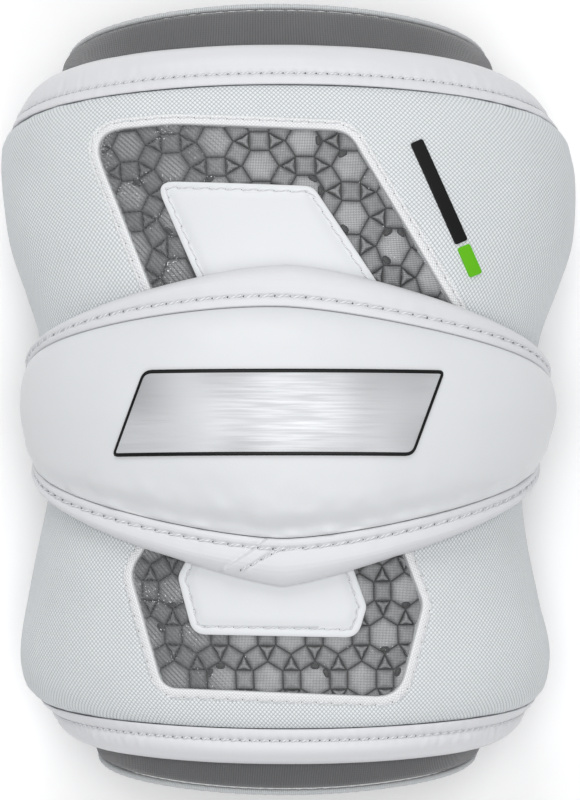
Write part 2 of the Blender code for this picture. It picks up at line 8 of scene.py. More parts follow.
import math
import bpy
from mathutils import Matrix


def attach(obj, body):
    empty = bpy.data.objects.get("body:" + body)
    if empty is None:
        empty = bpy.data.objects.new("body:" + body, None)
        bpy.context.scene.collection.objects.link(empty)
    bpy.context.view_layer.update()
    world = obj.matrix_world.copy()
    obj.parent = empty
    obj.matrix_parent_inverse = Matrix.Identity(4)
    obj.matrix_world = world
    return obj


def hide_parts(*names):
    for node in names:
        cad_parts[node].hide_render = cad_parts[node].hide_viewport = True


bl_info = {
    "name": "Elbow Guard Looks",
    "version": (1, 0, 0),
    "blender": (4, 5, 0),
    "location": "View3D > Sidebar > Elbow Guard",
    "description": "Sews the visible pieces of a padded elbow guard round its model",
    "category": "Object",
}

import bmesh
import bpy
import numpy as np
from bpy.props import FloatProperty, FloatVectorProperty, PointerProperty
from bpy.types import Operator, Panel, PropertyGroup
from mathutils import Matrix, Vector, kdtree, noise

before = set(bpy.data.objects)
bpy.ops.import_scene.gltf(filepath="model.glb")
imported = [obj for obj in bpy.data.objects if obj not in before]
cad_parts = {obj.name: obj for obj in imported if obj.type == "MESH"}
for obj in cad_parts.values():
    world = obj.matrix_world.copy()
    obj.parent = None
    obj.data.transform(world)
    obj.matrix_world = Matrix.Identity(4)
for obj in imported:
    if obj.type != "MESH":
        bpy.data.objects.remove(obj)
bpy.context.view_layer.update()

MM = 0.001

# The arm's form, as in the model
HALF_WIDTH = 0.0925
HALF_DEPTH = 0.0600
SQUARENESS = 2.25
UPPER_SEAM = 0.0887
LOWER_SEAM = 0.1014
UPPER_BAND_REACH = 0.0145
LOWER_BAND_REACH = 0.0118
UPPER_LINER_REACH = 0.0138
LOWER_LINER_REACH = 0.0090
BEND_REACH = 0.0450
UPPER_LEAN = math.radians(8.5)
LOWER_LEAN = math.radians(6.5)
SHELL_THICKNESS = 0.0090
LINER_THICKNESS = 0.0050
LAYER_GAP = 0.0006
SEAM_GAP = 0.0004
TRIM_RADIUS = 0.0010
WING_ANGLE = math.radians(120)
WING_ROUNDING = math.radians(7)
WING_NOTCH = 0.0260
WING_TAPER = 0.0080
TAPER_START = math.radians(80)
CUFF_ARCH = 0.0030
LINER_OVERHANG = math.radians(4)
LINER_ARCH = 0.0085
ELBOW_STATION = -0.0085
ELBOW_GAP = 0.0140
FLOOR_GAP = 0.0004
LINER_TOP = -SHELL_THICKNESS - LAYER_GAP
LINER_ANGLE = WING_ANGLE + LINER_OVERHANG

# Station as a share of the nearer seam's, width and depth as shares of the half sizes, and how
# far the section lies to the right as a share of HALF_WIDTH
SECTIONS = (
    (-1.26, 0.780, 0.825, -0.015),
    (-1.10, 0.780, 0.860, 0.002),
    (-1.05, 0.794, 0.874, 0.004),
    (-1.00, 0.830, 0.888, 0.002),
    (-0.95, 0.882, 0.896, -0.003),
    (-0.90, 0.914, 0.902, -0.006),
    (-0.80, 0.926, 0.910, -0.010),
    (-0.64, 0.892, 0.915, -0.016),
    (-0.47, 0.853, 0.922, -0.019),
    (-0.31, 0.826, 0.932, -0.013),
    (-0.10, 0.820, 0.945, 0.000),
    (0.22, 0.878, 0.958, 0.006),
    (0.37, 0.925, 0.972, 0.010),
    (0.56, 0.984, 0.990, 0.010),
    (0.80, 1.005, 1.000, 0.000),
    (0.92, 0.990, 0.996, -0.009),
    (1.00, 0.947, 0.985, -0.015),
    (1.06, 0.908, 0.970, -0.021),
    (1.15, 0.876, 0.950, -0.034),
    (1.36, 0.828, 0.895, -0.040),
)

# Elbow cap: station and half angle of an outline's ends, then its reach, squareness and skew
# up and down. The skew makes it taller at its left end.
CAP_GAP = 0.0013
RIM_DIP = 0.0022
DIP_ANGLE = math.radians(34)
PANEL_OUTLINE = (-0.0061, math.radians(102), (0.0267, 1.65, 0.175), (0.0345, 1.57, 0.0))
RIM_OUTLINE = (-0.0078, math.radians(106), (0.0402, 1.50, 0.079), (0.0459, 1.40, 0.0))

# Outlines seen from the front: across as a share of HALF_WIDTH, along as a share of the seam's
# distance from the elbow's middle, and the corner's radius as a share of HALF_WIDTH
UPPER_WINDOW = (
    (-0.690, 0.853, 0.11),
    (-0.400, 0.872, 0.90),
    (0.206, 0.847, 0.10),
    (0.600, 0.225, 0.02),
    (-0.427, 0.225, 0.02),
)
UPPER_PATCH = (
    (-0.458, 0.683, 0.045),
    (0.085, 0.663, 0.055),
    (0.378, 0.245, 0.02),
    (-0.258, 0.245, 0.02),
)
LOWER_WINDOW = (
    (-0.545, 0.535, 0.10),
    (-0.430, 0.880, 0.07),
    (0.380, 0.908, 0.10),
    (0.466, 0.632, 0.08),
    (0.330, 0.330, 0.02),
    (-0.390, 0.330, 0.02),
)
LOWER_PATCH = (
    (-0.378, 0.552, 0.05),
    (-0.326, 0.722, 0.06),
    (0.238, 0.732, 0.06),
    (0.270, 0.640, 0.04),
    (0.150, 0.350, 0.02),
    (-0.260, 0.350, 0.02),
)
BADGE_CENTRE = (-0.0030, -0.0080)
BADGE_HALF_LENGTH = 0.0520
BADGE_HALF_HEIGHT = 0.0135
BADGE_SLANT = 0.0100
BAR_START = (0.437, 0.812)
BAR_DIRECTION = (0.408, -0.913)
BAR_WIDTH = 0.0042
BAR_LENGTH = 0.0350
TIP_LENGTH = 0.0100
BAR_SPACE = 0.0012
BAR_CORNER_SHARE = 0.2
STRAP_THICKNESS = 0.0015
STRAP_WIDTH = 0.0340
UPPER_STRAP_STATION = 0.0560
LOWER_STRAP_STATION = -0.0640
STRAP_TOP_ANGLE = math.radians(101)
STRAP_LEAVE_ANGLE = math.radians(108.75)

# Sewn profiles, across the strip or round the padded edge. Distances and heights in millimetres.
HEM_PROFILE = (
    (0.10, -2.60), (-0.10, -1.20), (-0.12, -0.45), (0.00, -0.08), (0.30, 0.12), (0.90, 0.18),
    (1.60, 0.16), (2.10, 0.08), (2.60, 0.02), (3.00, -0.10), (3.35, -0.35), (3.10, -1.20),
    (1.50, -2.60),
)
PATCH_RIM_PROFILE = (
    (0.30, -1.55), (0.02, -1.35), (0.00, -0.80), (0.08, -0.45), (0.30, -0.32), (0.90, -0.26),
    (1.50, -0.26), (2.00, -0.34), (2.50, -0.42), (3.00, -0.60), (3.30, -0.90), (3.00, -1.30),
    (1.50, -1.55),
)
BAND_PROFILE = (
    (0.00, -3.50), (-0.05, -1.60), (-0.24, -0.85), (-0.12, -0.42), (0.35, -0.16), (1.70, -0.06),
    (2.50, -0.12), (3.10, -0.30), (3.50, -0.42), (3.90, -0.30), (4.60, 0.02), (5.60, 0.38),
    (7.00, 0.52), (8.40, 0.40), (9.80, 0.00), (11.10, -0.70), (12.30, -1.70), (13.30, -2.90),
    (14.00, -4.20), (14.35, -5.50), (14.30, -6.80), (13.70, -7.90), (12.40, -8.75),
    (10.00, -9.00), (6.00, -9.00), (2.00, -9.00), (0.00, -8.50), (0.00, -6.00),
)
# For the cap's rim: millimetres from the seam, share of the rest of the rim, and height
RIM_PROFILE = (
    (0.00, 0.00, 2.60), (0.00, 0.00, 5.00), (0.03, 0.00, 5.65), (0.32, 0.00, 6.15),
    (1.10, 0.00, 6.40), (1.80, 0.00, 6.35), (2.40, 0.00, 6.05), (2.80, 0.00, 5.80),
    (3.10, 0.00, 5.85), (3.50, 0.00, 6.05), (4.00, 0.05, 6.25), (4.00, 0.20, 6.45),
    (4.00, 0.36, 6.50), (4.00, 0.52, 6.20), (4.00, 0.66, 5.65), (4.00, 0.78, 4.95),
    (4.00, 0.88, 4.10), (4.00, 0.95, 3.25), (4.00, 0.99, 2.45), (4.00, 1.00, 1.90),
    (4.00, 0.97, 1.45), (4.00, 0.85, 1.35), (4.00, 0.40, 1.35), (2.00, 0.00, 1.35),
    (0.20, 0.00, 1.45),
)
TUCK = ((0.0, -1.50), (0.4, -0.95), (1.0, -0.50), (2.0, -0.10), (3.8, 0.12), (6.5, 0.0))


def smooth_curve(rows, column, positions):
    """Values of a table's column at some positions, on a smooth curve through its rows."""
    x = np.array([row[0] for row in rows])
    y = np.array([row[column] for row in rows])
    slope = np.empty_like(y)
    slope[1:-1] = (y[2:] - y[:-2]) / (x[2:] - x[:-2])
    slope[0] = (y[1] - y[0]) / (x[1] - x[0])
    slope[-1] = (y[-1] - y[-2]) / (x[-1] - x[-2])
    span = np.clip(np.searchsorted(x, positions) - 1, 0, len(x) - 2)
    width = x[span + 1] - x[span]
    inside = np.clip(positions, x[0], x[-1])
    t = (inside - x[span]) / width
    value = (
        (2 * t**3 - 3 * t**2 + 1) * y[span]
        + (t**3 - 2 * t**2 + t) * width * slope[span]
        + (3 * t**2 - 2 * t**3) * y[span + 1]
        + (t**3 - t**2) * width * slope[span + 1]
    )
    beyond = positions - inside
    return value + beyond * np.where(beyond < 0.0, slope[0], slope[-1])


def smooth_step(value):
    clipped = np.clip(value, 0.0, 1.0)
    return clipped * clipped * (3.0 - 2.0 * clipped)


def free_point(angle, station, height):
    """Columns of points round the arm, before they are centred and set on the floor."""
    angle, station, height = np.broadcast_arrays(
        *(np.asarray(value, float) for value in (angle, station, height))
    )
    share = station / np.where(station > 0.0, UPPER_SEAM, LOWER_SEAM)
    half_width = HALF_WIDTH * smooth_curve(SECTIONS, 1, share)
    half_depth = HALF_DEPTH * smooth_curve(SECTIONS, 2, share)
    sine, cosine = np.sin(angle), np.cos(angle)
    reach = (
        (np.abs(sine) / half_width) ** SQUARENESS + (np.abs(cosine) / half_depth) ** SQUARENESS
    ) ** (-1.0 / SQUARENESS)
    x, rise = reach * sine, reach * cosine
    out_x = np.sign(x) * (np.abs(x) / half_width) ** (SQUARENESS - 1.0) / half_width
    out_rise = np.sign(rise) * (np.abs(rise) / half_depth) ** (SQUARENESS - 1.0) / half_depth
    size = np.hypot(out_x, out_rise)
    x = x + height * out_x / size
    x = x + HALF_WIDTH * smooth_curve(SECTIONS, 3, share)
    rise = rise + height * out_rise / size
    lean = np.where(station > 0.0, UPPER_LEAN, LOWER_LEAN)
    radius = BEND_REACH / lean
    bent = np.minimum(np.abs(station), BEND_REACH)
    straight = np.abs(station) - bent
    turned = bent / radius
    along = radius * np.sin(turned) + straight * np.cos(turned)
    drop = radius * (1.0 - np.cos(turned)) + straight * np.sin(turned)
    side = np.where(station < 0.0, -1.0, 1.0)
    y = side * (along + rise * np.sin(turned))
    return np.stack((x, y, rise * np.cos(turned) - drop), axis=-1)


def notch(angle):
    return WING_NOTCH * (np.abs(angle) / WING_ANGLE) ** 2.5


def taper(angle):
    arch = CUFF_ARCH * (angle / TAPER_START) ** 2
    drawn = smooth_step((np.abs(angle) - TAPER_START) / (WING_ANGLE - TAPER_START))
    return arch + WING_TAPER * drawn


def upper_shell_span(angle):
    return ELBOW_STATION + ELBOW_GAP / 2 + notch(angle), UPPER_SEAM - taper(angle)


def lower_shell_span(angle):
    return ELBOW_STATION - ELBOW_GAP / 2 - notch(angle), -LOWER_SEAM + taper(angle)


def upper_band_span(angle):
    start = UPPER_SEAM - taper(angle) + SEAM_GAP
    return start, start + UPPER_BAND_REACH


def lower_band_span(angle):
    start = -LOWER_SEAM + taper(angle) - SEAM_GAP
    return start, start - LOWER_BAND_REACH


def liner_span(angle):
    arch = LINER_ARCH * (np.abs(angle) / math.radians(90)) ** 2
    return (
        -LOWER_SEAM - LOWER_BAND_REACH - LOWER_LINER_REACH + arch,
        UPPER_SEAM + UPPER_BAND_REACH + UPPER_LINER_REACH - arch,
    )


def resting_offset():
    """The move that centres the pad along Y and sets its lowest wing just over the floor."""
    ends = [
        free_point(0.0, liner_span(0.0)[side], LINER_TOP - LINER_THICKNESS * share)[1] + reach
        for side, reach in ((0, -2 * TRIM_RADIUS), (1, 2 * TRIM_RADIUS))
        for share in (0.0, 0.5)
    ]
    lowest = min(
        free_point(limit, station, height)[2]
        for limit, span, height in (
            (WING_ANGLE, upper_shell_span, -SHELL_THICKNESS / 2),
            (WING_ANGLE, upper_shell_span, 0.0),
            (WING_ANGLE, lower_shell_span, 0.0),
            (WING_ANGLE, upper_band_span, 0.0),
            (WING_ANGLE, lower_band_span, 0.0),
            (LINER_ANGLE, liner_span, LINER_TOP),
        )
        for station in span(limit)
    )
    return np.array((0.0, -(min(ends) + max(ends)) / 2, FLOOR_GAP - lowest))


RESTING = resting_offset()


def girth_table():
    """Angles from the front to the back, and the distance round a middling section to each."""
    angle = np.linspace(0.0, math.radians(135), 541)
    width, depth = HALF_WIDTH * 0.95, HALF_DEPTH * 0.97
    reach = (
        (np.sin(angle) / width) ** SQUARENESS + (np.abs(np.cos(angle)) / depth) ** SQUARENESS
    ) ** (-1.0 / SQUARENESS)
    steps = np.hypot(np.diff(reach * np.sin(angle)), np.diff(reach * np.cos(angle)))
    return angle, np.concatenate(((0.0,), np.cumsum(steps)))


GIRTH_ANGLES, GIRTHS = girth_table()


def round_of(angle):
    """Distance round the arm to an angle."""
    return np.sign(angle) * np.interp(np.abs(angle), GIRTH_ANGLES, GIRTHS)


def angle_of(distance):
    return np.sign(distance) * np.interp(np.abs(distance), GIRTHS, GIRTH_ANGLES)


def wrap(flat):
    """Puts flat points round the arm, on the floor."""
    flat = np.asarray(flat, float)
    return free_point(angle_of(flat[..., 0]), flat[..., 1], flat[..., 2]) + RESTING


def unwrap_front(seen, height_at=None, pace=1.0, rounds=30):
    """Flat points that lie behind points seen from the front, on the shells' outer face or at
    the heights that height_at gives. Each round corrects them by a share of the error."""
    seen = np.asarray(seen, float)
    flat = np.zeros((len(seen), 3))
    flat[:, 0] = seen[:, 0]
    flat[:, 1] = seen[:, 1] - RESTING[1]
    for _ in range(rounds):
        if height_at:
            flat[:, 2] = height_at(flat)
        flat[:, :2] += (seen - wrap(flat)[:, :2]) * pace
    return flat[:, :2]


def rough(points, scale, seed, across=1.0):
    """Smooth noise over flat points, from about -1 to 1. Across stretches it round the arm."""
    return np.array(
        [
            noise.noise(Vector((x / (scale * across), y / scale, seed)))
            for x, y in points[:, :2]
        ]
    )


def rounded_end(angle, limit):
    inside = np.maximum(0.0, 1.0 - (limit - np.abs(angle)) / WING_ROUNDING)
    return np.sqrt(np.maximum(0.0, 1.0 - 0.88 * np.minimum(inside, 1.0) ** 2))


# Outlines and the lines of stitches along them


def seam_distance(station):
    return free_point(0.0, station, 0.0)[1]


def seen_corners(rows, seam):
    return [
        (across * HALF_WIDTH, RESTING[1] + along * seam, radius * HALF_WIDTH)
        for across, along, radius in rows
    ]


def rounded(corners, steps=10):
    """Points of a closed outline whose corners are arcs, as far as its sides leave room. They
    lie close enough together for the outline to bend round the arm."""
    points = []
    count = len(corners)
    for i in range(count):
        before, here, after = (Vector(corners[j % count][:2]) for j in (i - 1, i, i + 1))
        back, ahead = before - here, after - here
        half = back.angle(ahead) / 2
        room = 0.45 * min(back.length, ahead.length)
        reach = min(corners[i][2] / math.tan(half), room)
        start = here + back.normalized() * reach
        end = here + ahead.normalized() * reach
        for step in range(steps + 1):
            t = step / steps
            points.append(start * (1 - t) ** 2 + here * 2 * t * (1 - t) + end * t**2)
    points = np.array(points)
    lines = []
    for start, end in zip(points, np.roll(points, -1, axis=0)):
        pieces = max(1, int(np.hypot(*(end - start)) / (2 * MM)))
        lines.append(start + (end - start) * (np.arange(pieces) / pieces)[:, None])
    return np.vstack(lines)


class Rail:
    """A smooth line on the flat pattern, at even steps, with the way out of it at each point."""

    def __init__(self, points, step=0.0007, closed=True):
        points = np.asarray(points, float)[:, :2]
        if closed:
            turned = np.roll(points, -1, axis=0)
            area = np.sum(points[:, 0] * turned[:, 1] - turned[:, 0] * points[:, 1])
            points = points if area < 0.0 else points[::-1]
            points = np.vstack((points, points[:1]))
        lengths = np.hypot(*np.diff(points, axis=0).T)
        points = np.vstack((points[:1], points[1:][lengths > 1e-7]))
        lengths = lengths[lengths > 1e-7]
        travelled = np.concatenate(((0.0,), np.cumsum(lengths)))
        self.closed = closed
        self.step = step
        self.length = travelled[-1]
        self.count = max(8, round(self.length / step))
        self.run = np.linspace(0.0, self.length, self.count + 1)
        self.points = np.stack(
            [np.interp(self.run, travelled, points[:, axis]) for axis in (0, 1)], axis=1
        )
        if closed:
            ahead = np.roll(self.points[:-1], -1, axis=0) - np.roll(self.points[:-1], 1, axis=0)
            ahead = np.vstack((ahead, ahead[:1]))
        else:
            ahead = np.gradient(self.points, axis=0)
        ahead /= np.hypot(*ahead.T)[:, None]
        self.ahead = ahead
        self.out = np.stack((-ahead[:, 1], ahead[:, 0]), axis=1)

    def at(self, run, offset=0.0):
        """Flat point, way ahead and way out at a distance along the rail."""
        values = [
            np.array([np.interp(run, self.run, part[:, axis]) for axis in (0, 1)])
            for part in (self.points, self.ahead, self.out)
        ]
        return values[0] + values[2] * offset, values[1], values[2]

    def moved(self, offset):
        """The rail moved outwards, at even steps again, without loops at its corners."""
        last = -1 if self.closed else None
        places = self.points[:last] + self.out[:last] * offset
        clear = self.distance(places) > abs(offset) - 0.03 * MM
        return Rail(places[clear], step=self.step, closed=self.closed)

    def nearest(self, points):
        """How far along the rail flat points lie, the way to them from there, and the way out."""
        tree = kdtree.KDTree(len(self.points))
        for index, (x, y) in enumerate(self.points):
            tree.insert((x, y, 0.0), index)
        tree.balance()
        index = np.array([tree.find((x, y, 0.0))[1] for x, y in points[:, :2]])
        return self.run[index], points[:, :2] - self.points[index], self.out[index]

    def distance(self, points):
        """Distance of flat points from the rail."""
        return np.hypot(*self.nearest(points)[1].T)


class Seam:
    """Stitches beside a rail. Their pitch may crowd together towards the rail's two ends."""

    def __init__(self, rail, offset, pitch, crowd=0.0):
        self.rail = rail
        self.offset = offset * MM
        from_middle = np.abs(2.0 * rail.run / rail.length - 1.0)
        pitches = pitch * MM * (1.0 - crowd * smooth_step((from_middle - 0.25) / 0.5))
        count = np.concatenate(((0.0,), np.cumsum(np.diff(rail.run) / pitches[1:])))
        self.stitches = max(1, round(count[-1]))
        self.phase = count * self.stitches / count[-1]

    def runs(self, share):
        """How far along the rail the needle holes, or the stitches' middles, lie."""
        return np.interp(np.arange(self.stitches) + share, self.phase, self.rail.run)

    def dent(self, points, depth, pull, width=0.5):
        """Depth of the groove that the stitches pull into the cloth, in millimetres."""
        run, away, out = self.rail.nearest(points)
        offset = np.sum(away * out, axis=1) - self.offset
        sideways = np.hypot(*away.T) - np.abs(self.offset)
        groove = np.exp(-((offset / (width * MM)) ** 2) - np.maximum(0.0, sideways / MM) ** 2)
        pulled = (0.5 + 0.5 * np.cos(2 * math.pi * np.interp(run, self.rail.run, self.phase))) ** 2
        return -MM * groove * (depth + pull * pulled)


def front_rail(rows, seam_station):
    """The rail of an outline that is given as seen from the front."""
    seen = rounded(seen_corners(rows, seam_distance(seam_station)))
    return Rail(unwrap_front(seen), step=0.0005)


def cuff_rail(span, limit, end):
    """The rail along one end of a layer, from one wing round to the other."""
    angle = np.linspace(-limit, limit, 400)
    station = span(angle)[end]
    return Rail(np.stack((round_of(angle), station), axis=1), closed=False)


# Shapes


def corner_places(shape):
    return np.array([corner.co for corner in shape.verts])


def set_places(shape, places):
    for corner, place in zip(shape.verts, places):
        corner.co = place


def lay_pattern(shape, pattern):
    """Gives each face corner its place on the cloth, in metres, for weave and grain."""
    layer = shape.loops.layers.uv.verify()
    shape.verts.index_update()
    for face in shape.faces:
        for loop in face.loops:
            loop[layer].uv = pattern[loop.vert.index]


def grid_shape(columns, rows, flat_at, pattern_at=None):
    """A sheet of columns by rows faces. flat_at turns its running numbers into flat points."""
    shape = bmesh.new()
    bmesh.ops.create_grid(shape, x_segments=columns, y_segments=rows, size=0.5)
    corners = corner_places(shape)
    column = np.rint((corners[:, 0] + 0.5) * columns).astype(int)
    row = np.rint((corners[:, 1] + 0.5) * rows).astype(int)
    flat = flat_at(column, row)
    lay_pattern(shape, flat[:, :2] if pattern_at is None else pattern_at(column, row))
    set_places(shape, flat)
    return shape


def close_up(shape, ends=False):
    """Joins the edges that meet, and closes the open ends."""
    bmesh.ops.remove_doubles(shape, verts=shape.verts, dist=1e-6)
    if ends:
        edges = [edge for edge in shape.edges if edge.is_boundary]
        bmesh.ops.holes_fill(shape, edges=edges, sides=0)


def raise_corners(shape, rise):
    """Lifts a flat shape's corners by what rise gives for their places."""
    places = corner_places(shape)
    places[:, 2] += rise(places)
    set_places(shape, places)
    return places


def mesh_of(name, shape):
    mesh = bpy.data.meshes.new(name)
    shape.to_mesh(mesh)
    shape.free()
    return mesh


def place_object(name, data):
    made = bpy.data.objects.new(name, data)
    bpy.context.scene.collection.objects.link(made)
    return made


def add_piece(name, shape, materials, replaced=(), flat=True):
    """Wraps a flat shape round the arm and makes its object."""
    if flat:
        set_places(shape, wrap(corner_places(shape)))
    bmesh.ops.recalc_face_normals(shape, faces=shape.faces)
    if shape.calc_volume(signed=True) < 0.0:
        bmesh.ops.reverse_faces(shape, faces=shape.faces)
    mesh = mesh_of(name, shape)
    mesh.shade_smooth()
    for material in materials:
        mesh.materials.append(finishes()[material])
    piece = place_object(name, mesh)
    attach(piece, "root")
    if replaced:
        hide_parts(*replaced)
    return piece


def soften(piece, width):
    """Rounds a printed piece's edges by a width in millimetres."""
    edge = piece.modifiers.new("soft edge", "BEVEL")
    edge.width = width * MM
    edge.segments = 3
    edge.limit_method = "ANGLE"
    edge.angle_limit = math.radians(50)


def cut_flat(shape, rail, operation):
    """Cuts a closed flat shape through an outline, straight through its thickness."""
    reach = 0.03
    prism = bmesh.new()
    outline = rail.points[:-1]
    base = prism.faces.new([prism.verts.new((x, y, -reach)) for x, y in outline])
    made = bmesh.ops.extrude_face_region(prism, geom=[base, *base.edges])
    moved = [item for item in made["geom"] if isinstance(item, bmesh.types.BMVert)]
    bmesh.ops.translate(prism, verts=moved, vec=(0.0, 0.0, 2 * reach))
    bmesh.ops.recalc_face_normals(prism, faces=prism.faces)
    bmesh.ops.recalc_face_normals(shape, faces=shape.faces)
    cloth, cutter = (
        place_object(name, mesh_of(name, part))
        for part, name in ((shape, "flat_cloth"), (prism, "flat_cutter"))
    )
    modifier = cloth.modifiers.new("cut", "BOOLEAN")
    modifier.operation = operation
    modifier.object = cutter
    modifier.solver = "EXACT"
    graph = bpy.context.evaluated_depsgraph_get()
    mesh = bpy.data.meshes.new_from_object(cloth.evaluated_get(graph), depsgraph=graph)
    result = bmesh.new()
    result.from_mesh(mesh)
    bpy.data.meshes.remove(mesh)
    for used in (cloth, cutter):
        mesh = used.data
        bpy.data.objects.remove(used)
        bpy.data.meshes.remove(mesh)
    return result


def slab_shape(rail, step, low, high):
    """A closed flat slab inside a rail, between two heights in millimetres."""
    lowest, highest = rail.points.min(axis=0) - 0.002, rail.points.max(axis=0) + 0.002
    counts = [int((highest[axis] - lowest[axis]) / step) for axis in (0, 1)]

    def flat_at(column, row):
        share = np.column_stack((column / counts[0], row / counts[1]))
        place = lowest + (highest - lowest) * share
        return np.column_stack((place, np.full(len(place), low * MM)))

    slab = grid_shape(*counts, flat_at)
    made = bmesh.ops.extrude_face_region(slab, geom=list(slab.faces), use_keep_orig=True)
    moved = [item for item in made["geom"] if isinstance(item, bmesh.types.BMVert)]
    bmesh.ops.translate(slab, verts=moved, vec=(0.0, 0.0, (high - low) * MM))
    return cut_flat(slab, rail, "INTERSECT")


def strip_shape(rail, profile):
    """A closed strip along a rail. The profile gives millimetres outwards and upwards."""
    profile = np.array((*profile, profile[0])) * MM
    across = np.concatenate(((0.0,), np.cumsum(np.hypot(*np.diff(profile, axis=0).T))))

    def flat_at(column, row):
        place = rail.points[column] + rail.out[column] * profile[row, :1]
        return np.column_stack((place, profile[row, 1]))

    def pattern_at(column, row):
        return np.column_stack((rail.run[column], across[row]))

    shape = grid_shape(rail.count, len(profile) - 1, flat_at, pattern_at)
    close_up(shape, ends=not rail.closed)
    return shape


def layer_shape(angles, profile_at):
    """A closed layer round the arm. profile_at gives stations and depth shares for an angle."""
    tables = np.array([profile_at(angle) for angle in angles])
    tables = np.concatenate((tables, tables[..., :1]), axis=2)
    rounds = round_of(angles)

    def flat_at(column, row):
        return np.column_stack((rounds[column], *tables[column, :, row].T))

    shape = grid_shape(len(angles) - 1, tables.shape[2] - 1, flat_at)
    close_up(shape, ends=True)
    return shape


def fine_angles(limit, count):
    """Angles round the arm, closer together at the wings' rounded ends."""
    even = np.linspace(-limit + WING_ROUNDING, limit - WING_ROUNDING, count)
    end = limit - WING_ROUNDING * (np.linspace(0.0, 1.0, 9)[:-1]) ** 1.6
    return np.concatenate((-end, even, end[::-1]))


class Ground:
    """Heights of a piece's outer face over the flat pattern."""

    def __init__(self, places, lowest):
        self.places = places[places[:, 2] > lowest]
        self.tree = kdtree.KDTree(len(self.places))
        for index, (x, y, _) in enumerate(self.places):
            self.tree.insert((x, y, 0.0), index)
        self.tree.balance()

    def height(self, place):
        found = self.tree.find_n((place[0], place[1], 0.0), 4)
        weights = np.array([1.0 / (item[2] + 1e-5) for item in found])
        heights = self.places[[item[1] for item in found], 2]
        return float(np.sum(weights * heights) / np.sum(weights))


def stitch_shape(seams, ground):
    """Slanted threads, and between them flat dark balls that paint the shadow in the needle holes.
    Each seam comes with the threads' radius in millimetres."""
    shape = bmesh.new()
    shape.loops.layers.uv.verify()
    for seam, radius in seams:
        radius *= MM
        holes = seam.runs(0.0)
        for kind, runs in (("thread", seam.runs(0.5)), ("hole_shadow", holes)):
            for run in runs:
                place, ahead, out = seam.rail.at(run, seam.offset)
                up = ground.height(place)
                turn = Matrix(
                    (
                        (ahead[0], out[0], 0.0, place[0]),
                        (ahead[1], out[1], 0.0, place[1]),
                        (0.0, 0.0, 1.0, up + (0.3 * radius if kind == "thread" else 0.0)),
                        (0.0, 0.0, 0.0, 1.0),
                    )
                )
                if kind == "thread":
                    behind, before = holes[holes < run].max(initial=0.0), run
                    half = (before - behind) * 0.93
                    size = Matrix.Diagonal((half, radius, radius * 0.8, 1.0))
                    matrix = turn @ Matrix.Rotation(0.13, 4, "Z") @ size
                    matrix = matrix @ Matrix.Rotation(math.pi / 2, 4, "Y")
                    counts = 8, 7
                else:
                    # A hole shadow: a flat dark ball, squashed and turned, that paints the shade in
                    # a needle hole
                    size = Matrix.Diagonal((radius * 0.6, radius * 1.15, radius * 0.5, 1.0))
                    matrix = turn @ Matrix.Rotation(-0.5, 4, "Z") @ size
                    counts = 6, 4
                add_ball(shape, matrix, counts, material=1 if kind == "hole_shadow" else 0)
    return shape


def add_ball(shape, matrix, counts, material):
    """Adds a small ball, squashed and placed by a matrix."""
    made = bmesh.ops.create_uvsphere(
        shape,
        u_segments=counts[0],
        v_segments=counts[1],
        radius=1.0,
        matrix=matrix,
        calc_uvs=True,
    )
    for face in {face for corner in made["verts"] for face in corner.link_faces}:
        face.material_index = material


def add_stitches(name, seams, ground):
    materials = ["sewing_thread", "needle_hole_shadow"]
    return add_piece(name, stitch_shape(seams, ground), materials)


# Materials


class Wiring:
    """Adds nodes to a tree and joins them. A socket or a plain value may feed any input."""

    def __init__(self, tree):
        self.tree = tree

    def feed(self, socket, value):
        if isinstance(value, bpy.types.NodeSocket):
            self.tree.links.new(value, socket)
        else:
            socket.default_value = value

    def drive(self, node, inputs):
        for key, value in inputs.items():
            self.feed(node.inputs[key], value)

    def node(self, kind, inputs=None, **settings):
        made = self.tree.nodes.new(kind)
        for key, value in settings.items():
            setattr(made, key, value)
        self.drive(made, inputs or {})
        return made

    def math(self, operation, *values):
        inputs = dict(enumerate(values))
        return self.node("ShaderNodeMath", inputs, operation=operation).outputs[0]

    def mix(self, share, first, second):
        inputs = {0: share, 2: first, 3: second}
        return self.node("ShaderNodeMix", inputs, data_type="FLOAT").outputs[0]

    def blend(self, share, first, second):
        inputs = {0: share, 6: (*first[:3], 1.0), 7: (*second[:3], 1.0)}
        return self.node("ShaderNodeMix", inputs, data_type="RGBA").outputs[2]

    def tint(self, share, colour, first, second):
        """A colour that goes from one strength to another with a share."""
        return self.blend(share, scaled(colour, first), scaled(colour, second))

    def range(self, value, low, high, new_low=0.0, new_high=1.0):
        inputs = dict(enumerate((value, low, high, new_low, new_high)))
        made = self.node("ShaderNodeMapRange", inputs, interpolation_type="SMOOTHSTEP")
        return made.outputs[0]

    def noise(self, vector, scale, detail=2.0):
        inputs = {"Vector": vector, "Scale": scale, "Detail": detail, "Roughness": 0.5}
        return self.node("ShaderNodeTexNoise", inputs).outputs["Fac"]

    def bump(self, height, distance, strength=1.0):
        inputs = {"Height": height, "Distance": distance, "Strength": strength}
        return self.node("ShaderNodeBump", inputs).outputs[0]

    def split(self, vector):
        return self.node("ShaderNodeSeparateXYZ", {0: vector}).outputs

    def pattern(self):
        """Place on the cloth's own pattern."""
        return self.node("ShaderNodeUVMap").outputs["UV"]

    def place(self):
        return self.node("ShaderNodeTexCoord").outputs["Object"]


def scaled(colour, factor):
    return tuple(min(1.0, part * factor) for part in colour[:3])


